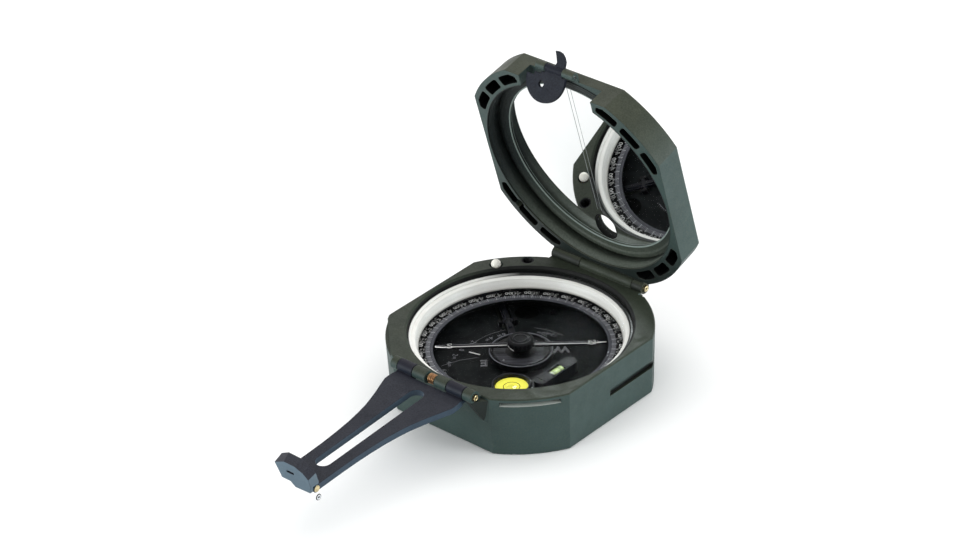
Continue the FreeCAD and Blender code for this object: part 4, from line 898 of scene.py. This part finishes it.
h2.lathe([(0.3, 0.06), (0.4, 0.16), (0.7, 0.2), (0.96, 0.12), (1.0, -0.05), (0.3, -0.05)], m2, seg=48)
h2.build("lid_pin_rivet", BRASS, "case", "brass")
h4 = Shape()
h4.lathe([(0.0, 0.05), (0.4, 0.05), (0.42, -0.05), (0.0, -0.05)], m, seg=32, closed_profile=False)
h4.lathe([(0.92, 0.03), (1.15, 0.03), (1.17, -0.2), (0.92, -0.2)], m, seg=48)
h4.lathe([(0.0, 0.05), (0.28, 0.05), (0.3, -0.05), (0.0, -0.05)], m2, seg=32, closed_profile=False)
h4.lathe([(1.02, 0.03), (1.2, 0.02), (1.22, -0.2), (1.02, -0.2)], m2, seg=48)
h4.build("rivet_centres", DARK, "case", "black_metal")
h3 = Shape()
m3 = ARM @ Matrix.Translation((6.5 * S, -93.375 * S, 15.236 * S)) @ Matrix.Rotation(math.radians(90), 4, "Y")
h3.lathe([(0.38, 0.02), (0.42, 0.1), (0.55, 0.14), (0.7, 0.08), (0.74, -0.05), (0.38, -0.05)], m3, seg=48)
h3.build("peep_pin_rivet", lacquer("rivet_white", srgb(236, 238, 240), srgb(210, 214, 218), rough=(0.25, 0.35), spec=0.5), "sight_arm", "steel")
h5 = Shape()
h5.lathe([(0.0, 0.03), (0.37, 0.03), (0.38, -0.05), (0.0, -0.05)], m3, seg=32, closed_profile=False)
h5.lathe([(0.76, 0.02), (0.94, 0.02), (0.98, -0.04), (0.98, -0.14), (0.76, -0.14)], m3, seg=48)
h5.build("peep_pin_dark", DARK, "sight_arm", "black_metal")

# ------------------------------------------------------------------ floor, light, camera
me = bpy.data.meshes.new("floor")
me.from_pydata([(-6, -6, 0), (6, -6, 0), (6, 6, 0), (-6, 6, 0)], [], [(0, 1, 2, 3)])
floor = bpy.data.objects.new("floor", me)
bpy.context.scene.collection.objects.link(floor)
k = Mat("floor_white")
k.colour(k.mix(k.noise(3.0, 2.0), (0.96, 0.96, 0.96, 1), (0.97, 0.97, 0.97, 1)))
k.set(Roughness=0.9, Specular_IOR_Level=0.1)
me.materials.append(k.m)

w = bpy.data.worlds.new("studio")
bpy.context.scene.world = w
w.use_nodes = True
wt = w.node_tree
bg = wt.nodes.get("Background") or wt.nodes.new("ShaderNodeBackground")
bg.inputs[0].default_value = (1.0, 1.0, 1.0, 1)
# a dark flag stands low in front of the near corner, between the two side lights
wc = wt.nodes.new("ShaderNodeTexCoord")
wd = wt.nodes.new("ShaderNodeVectorMath")
wd.operation = "DOT_PRODUCT"
wd.inputs[1].default_value = (0.68, -0.73, -0.05)
wt.links.new(wc.outputs["Generated"], wd.inputs[0])
wr = wt.nodes.new("ShaderNodeMapRange")
wr.inputs["From Min"].default_value = 0.55
wr.inputs["From Max"].default_value = 0.92
wr.inputs["To Min"].default_value = 1.05
wr.inputs["To Max"].default_value = 0.12
wt.links.new(wd.outputs["Value"], wr.inputs["Value"])
wt.links.new(wr.outputs[0], bg.inputs[1])


def area(name, loc, target, size, power, colour=(1, 1, 1)):
    li = bpy.data.lights.new(name, "AREA")
    li.shape = "RECTANGLE"
    li.size, li.size_y = size
    li.energy = power
    li.color = colour
    o = bpy.data.objects.new(name, li)
    bpy.context.scene.collection.objects.link(o)
    o.location = loc
    o.rotation_mode = "QUATERNION"
    o.rotation_quaternion = (Vector(target) - Vector(loc)).to_track_quat("-Z", "Y")
    return o


area("key_right", (1.1, 0.45, 0.22), (0, 0, 0.03), (0.5, 0.4), 8.5, (0.92, 1.0, 1.0))
area("fill_front", (-0.5, -1.15, 0.2), (0, 0, 0.03), (0.6, 0.4), 8.5, (0.92, 1.0, 1.0))
area("top_soft", (-0.4, 0.5, 1.3), (0, 0, 0), (1.2, 1.2), 4.0, (1.0, 1.0, 0.98))

cd = bpy.data.cameras.new("cam")
cam = bpy.data.objects.new("cam", cd)
bpy.context.scene.collection.objects.link(cam)
cd.sensor_width = 36.0
cd.lens = 3431.758 * 36.0 / 978.0
cd.clip_start, cd.clip_end = 0.05, 20.0
X = Vector((0.7506191354, 0.6595098443, -0.0402203779))
Y = Vector((-0.3173093902, 0.4131998694, 0.8535693404))
F = Vector((-0.5795564377, 0.6279431767, -0.5194243953))
cam.matrix_world = Matrix(((X.x, Y.x, -F.x, 0.5729608630), (X.y, Y.y, -F.y, -0.6331348122), (X.z, Y.z, -F.z, 0.5563328695), (0, 0, 0, 1)))
bpy.context.scene.camera = cam
bpy.context.scene.view_settings.view_transform = "Standard"
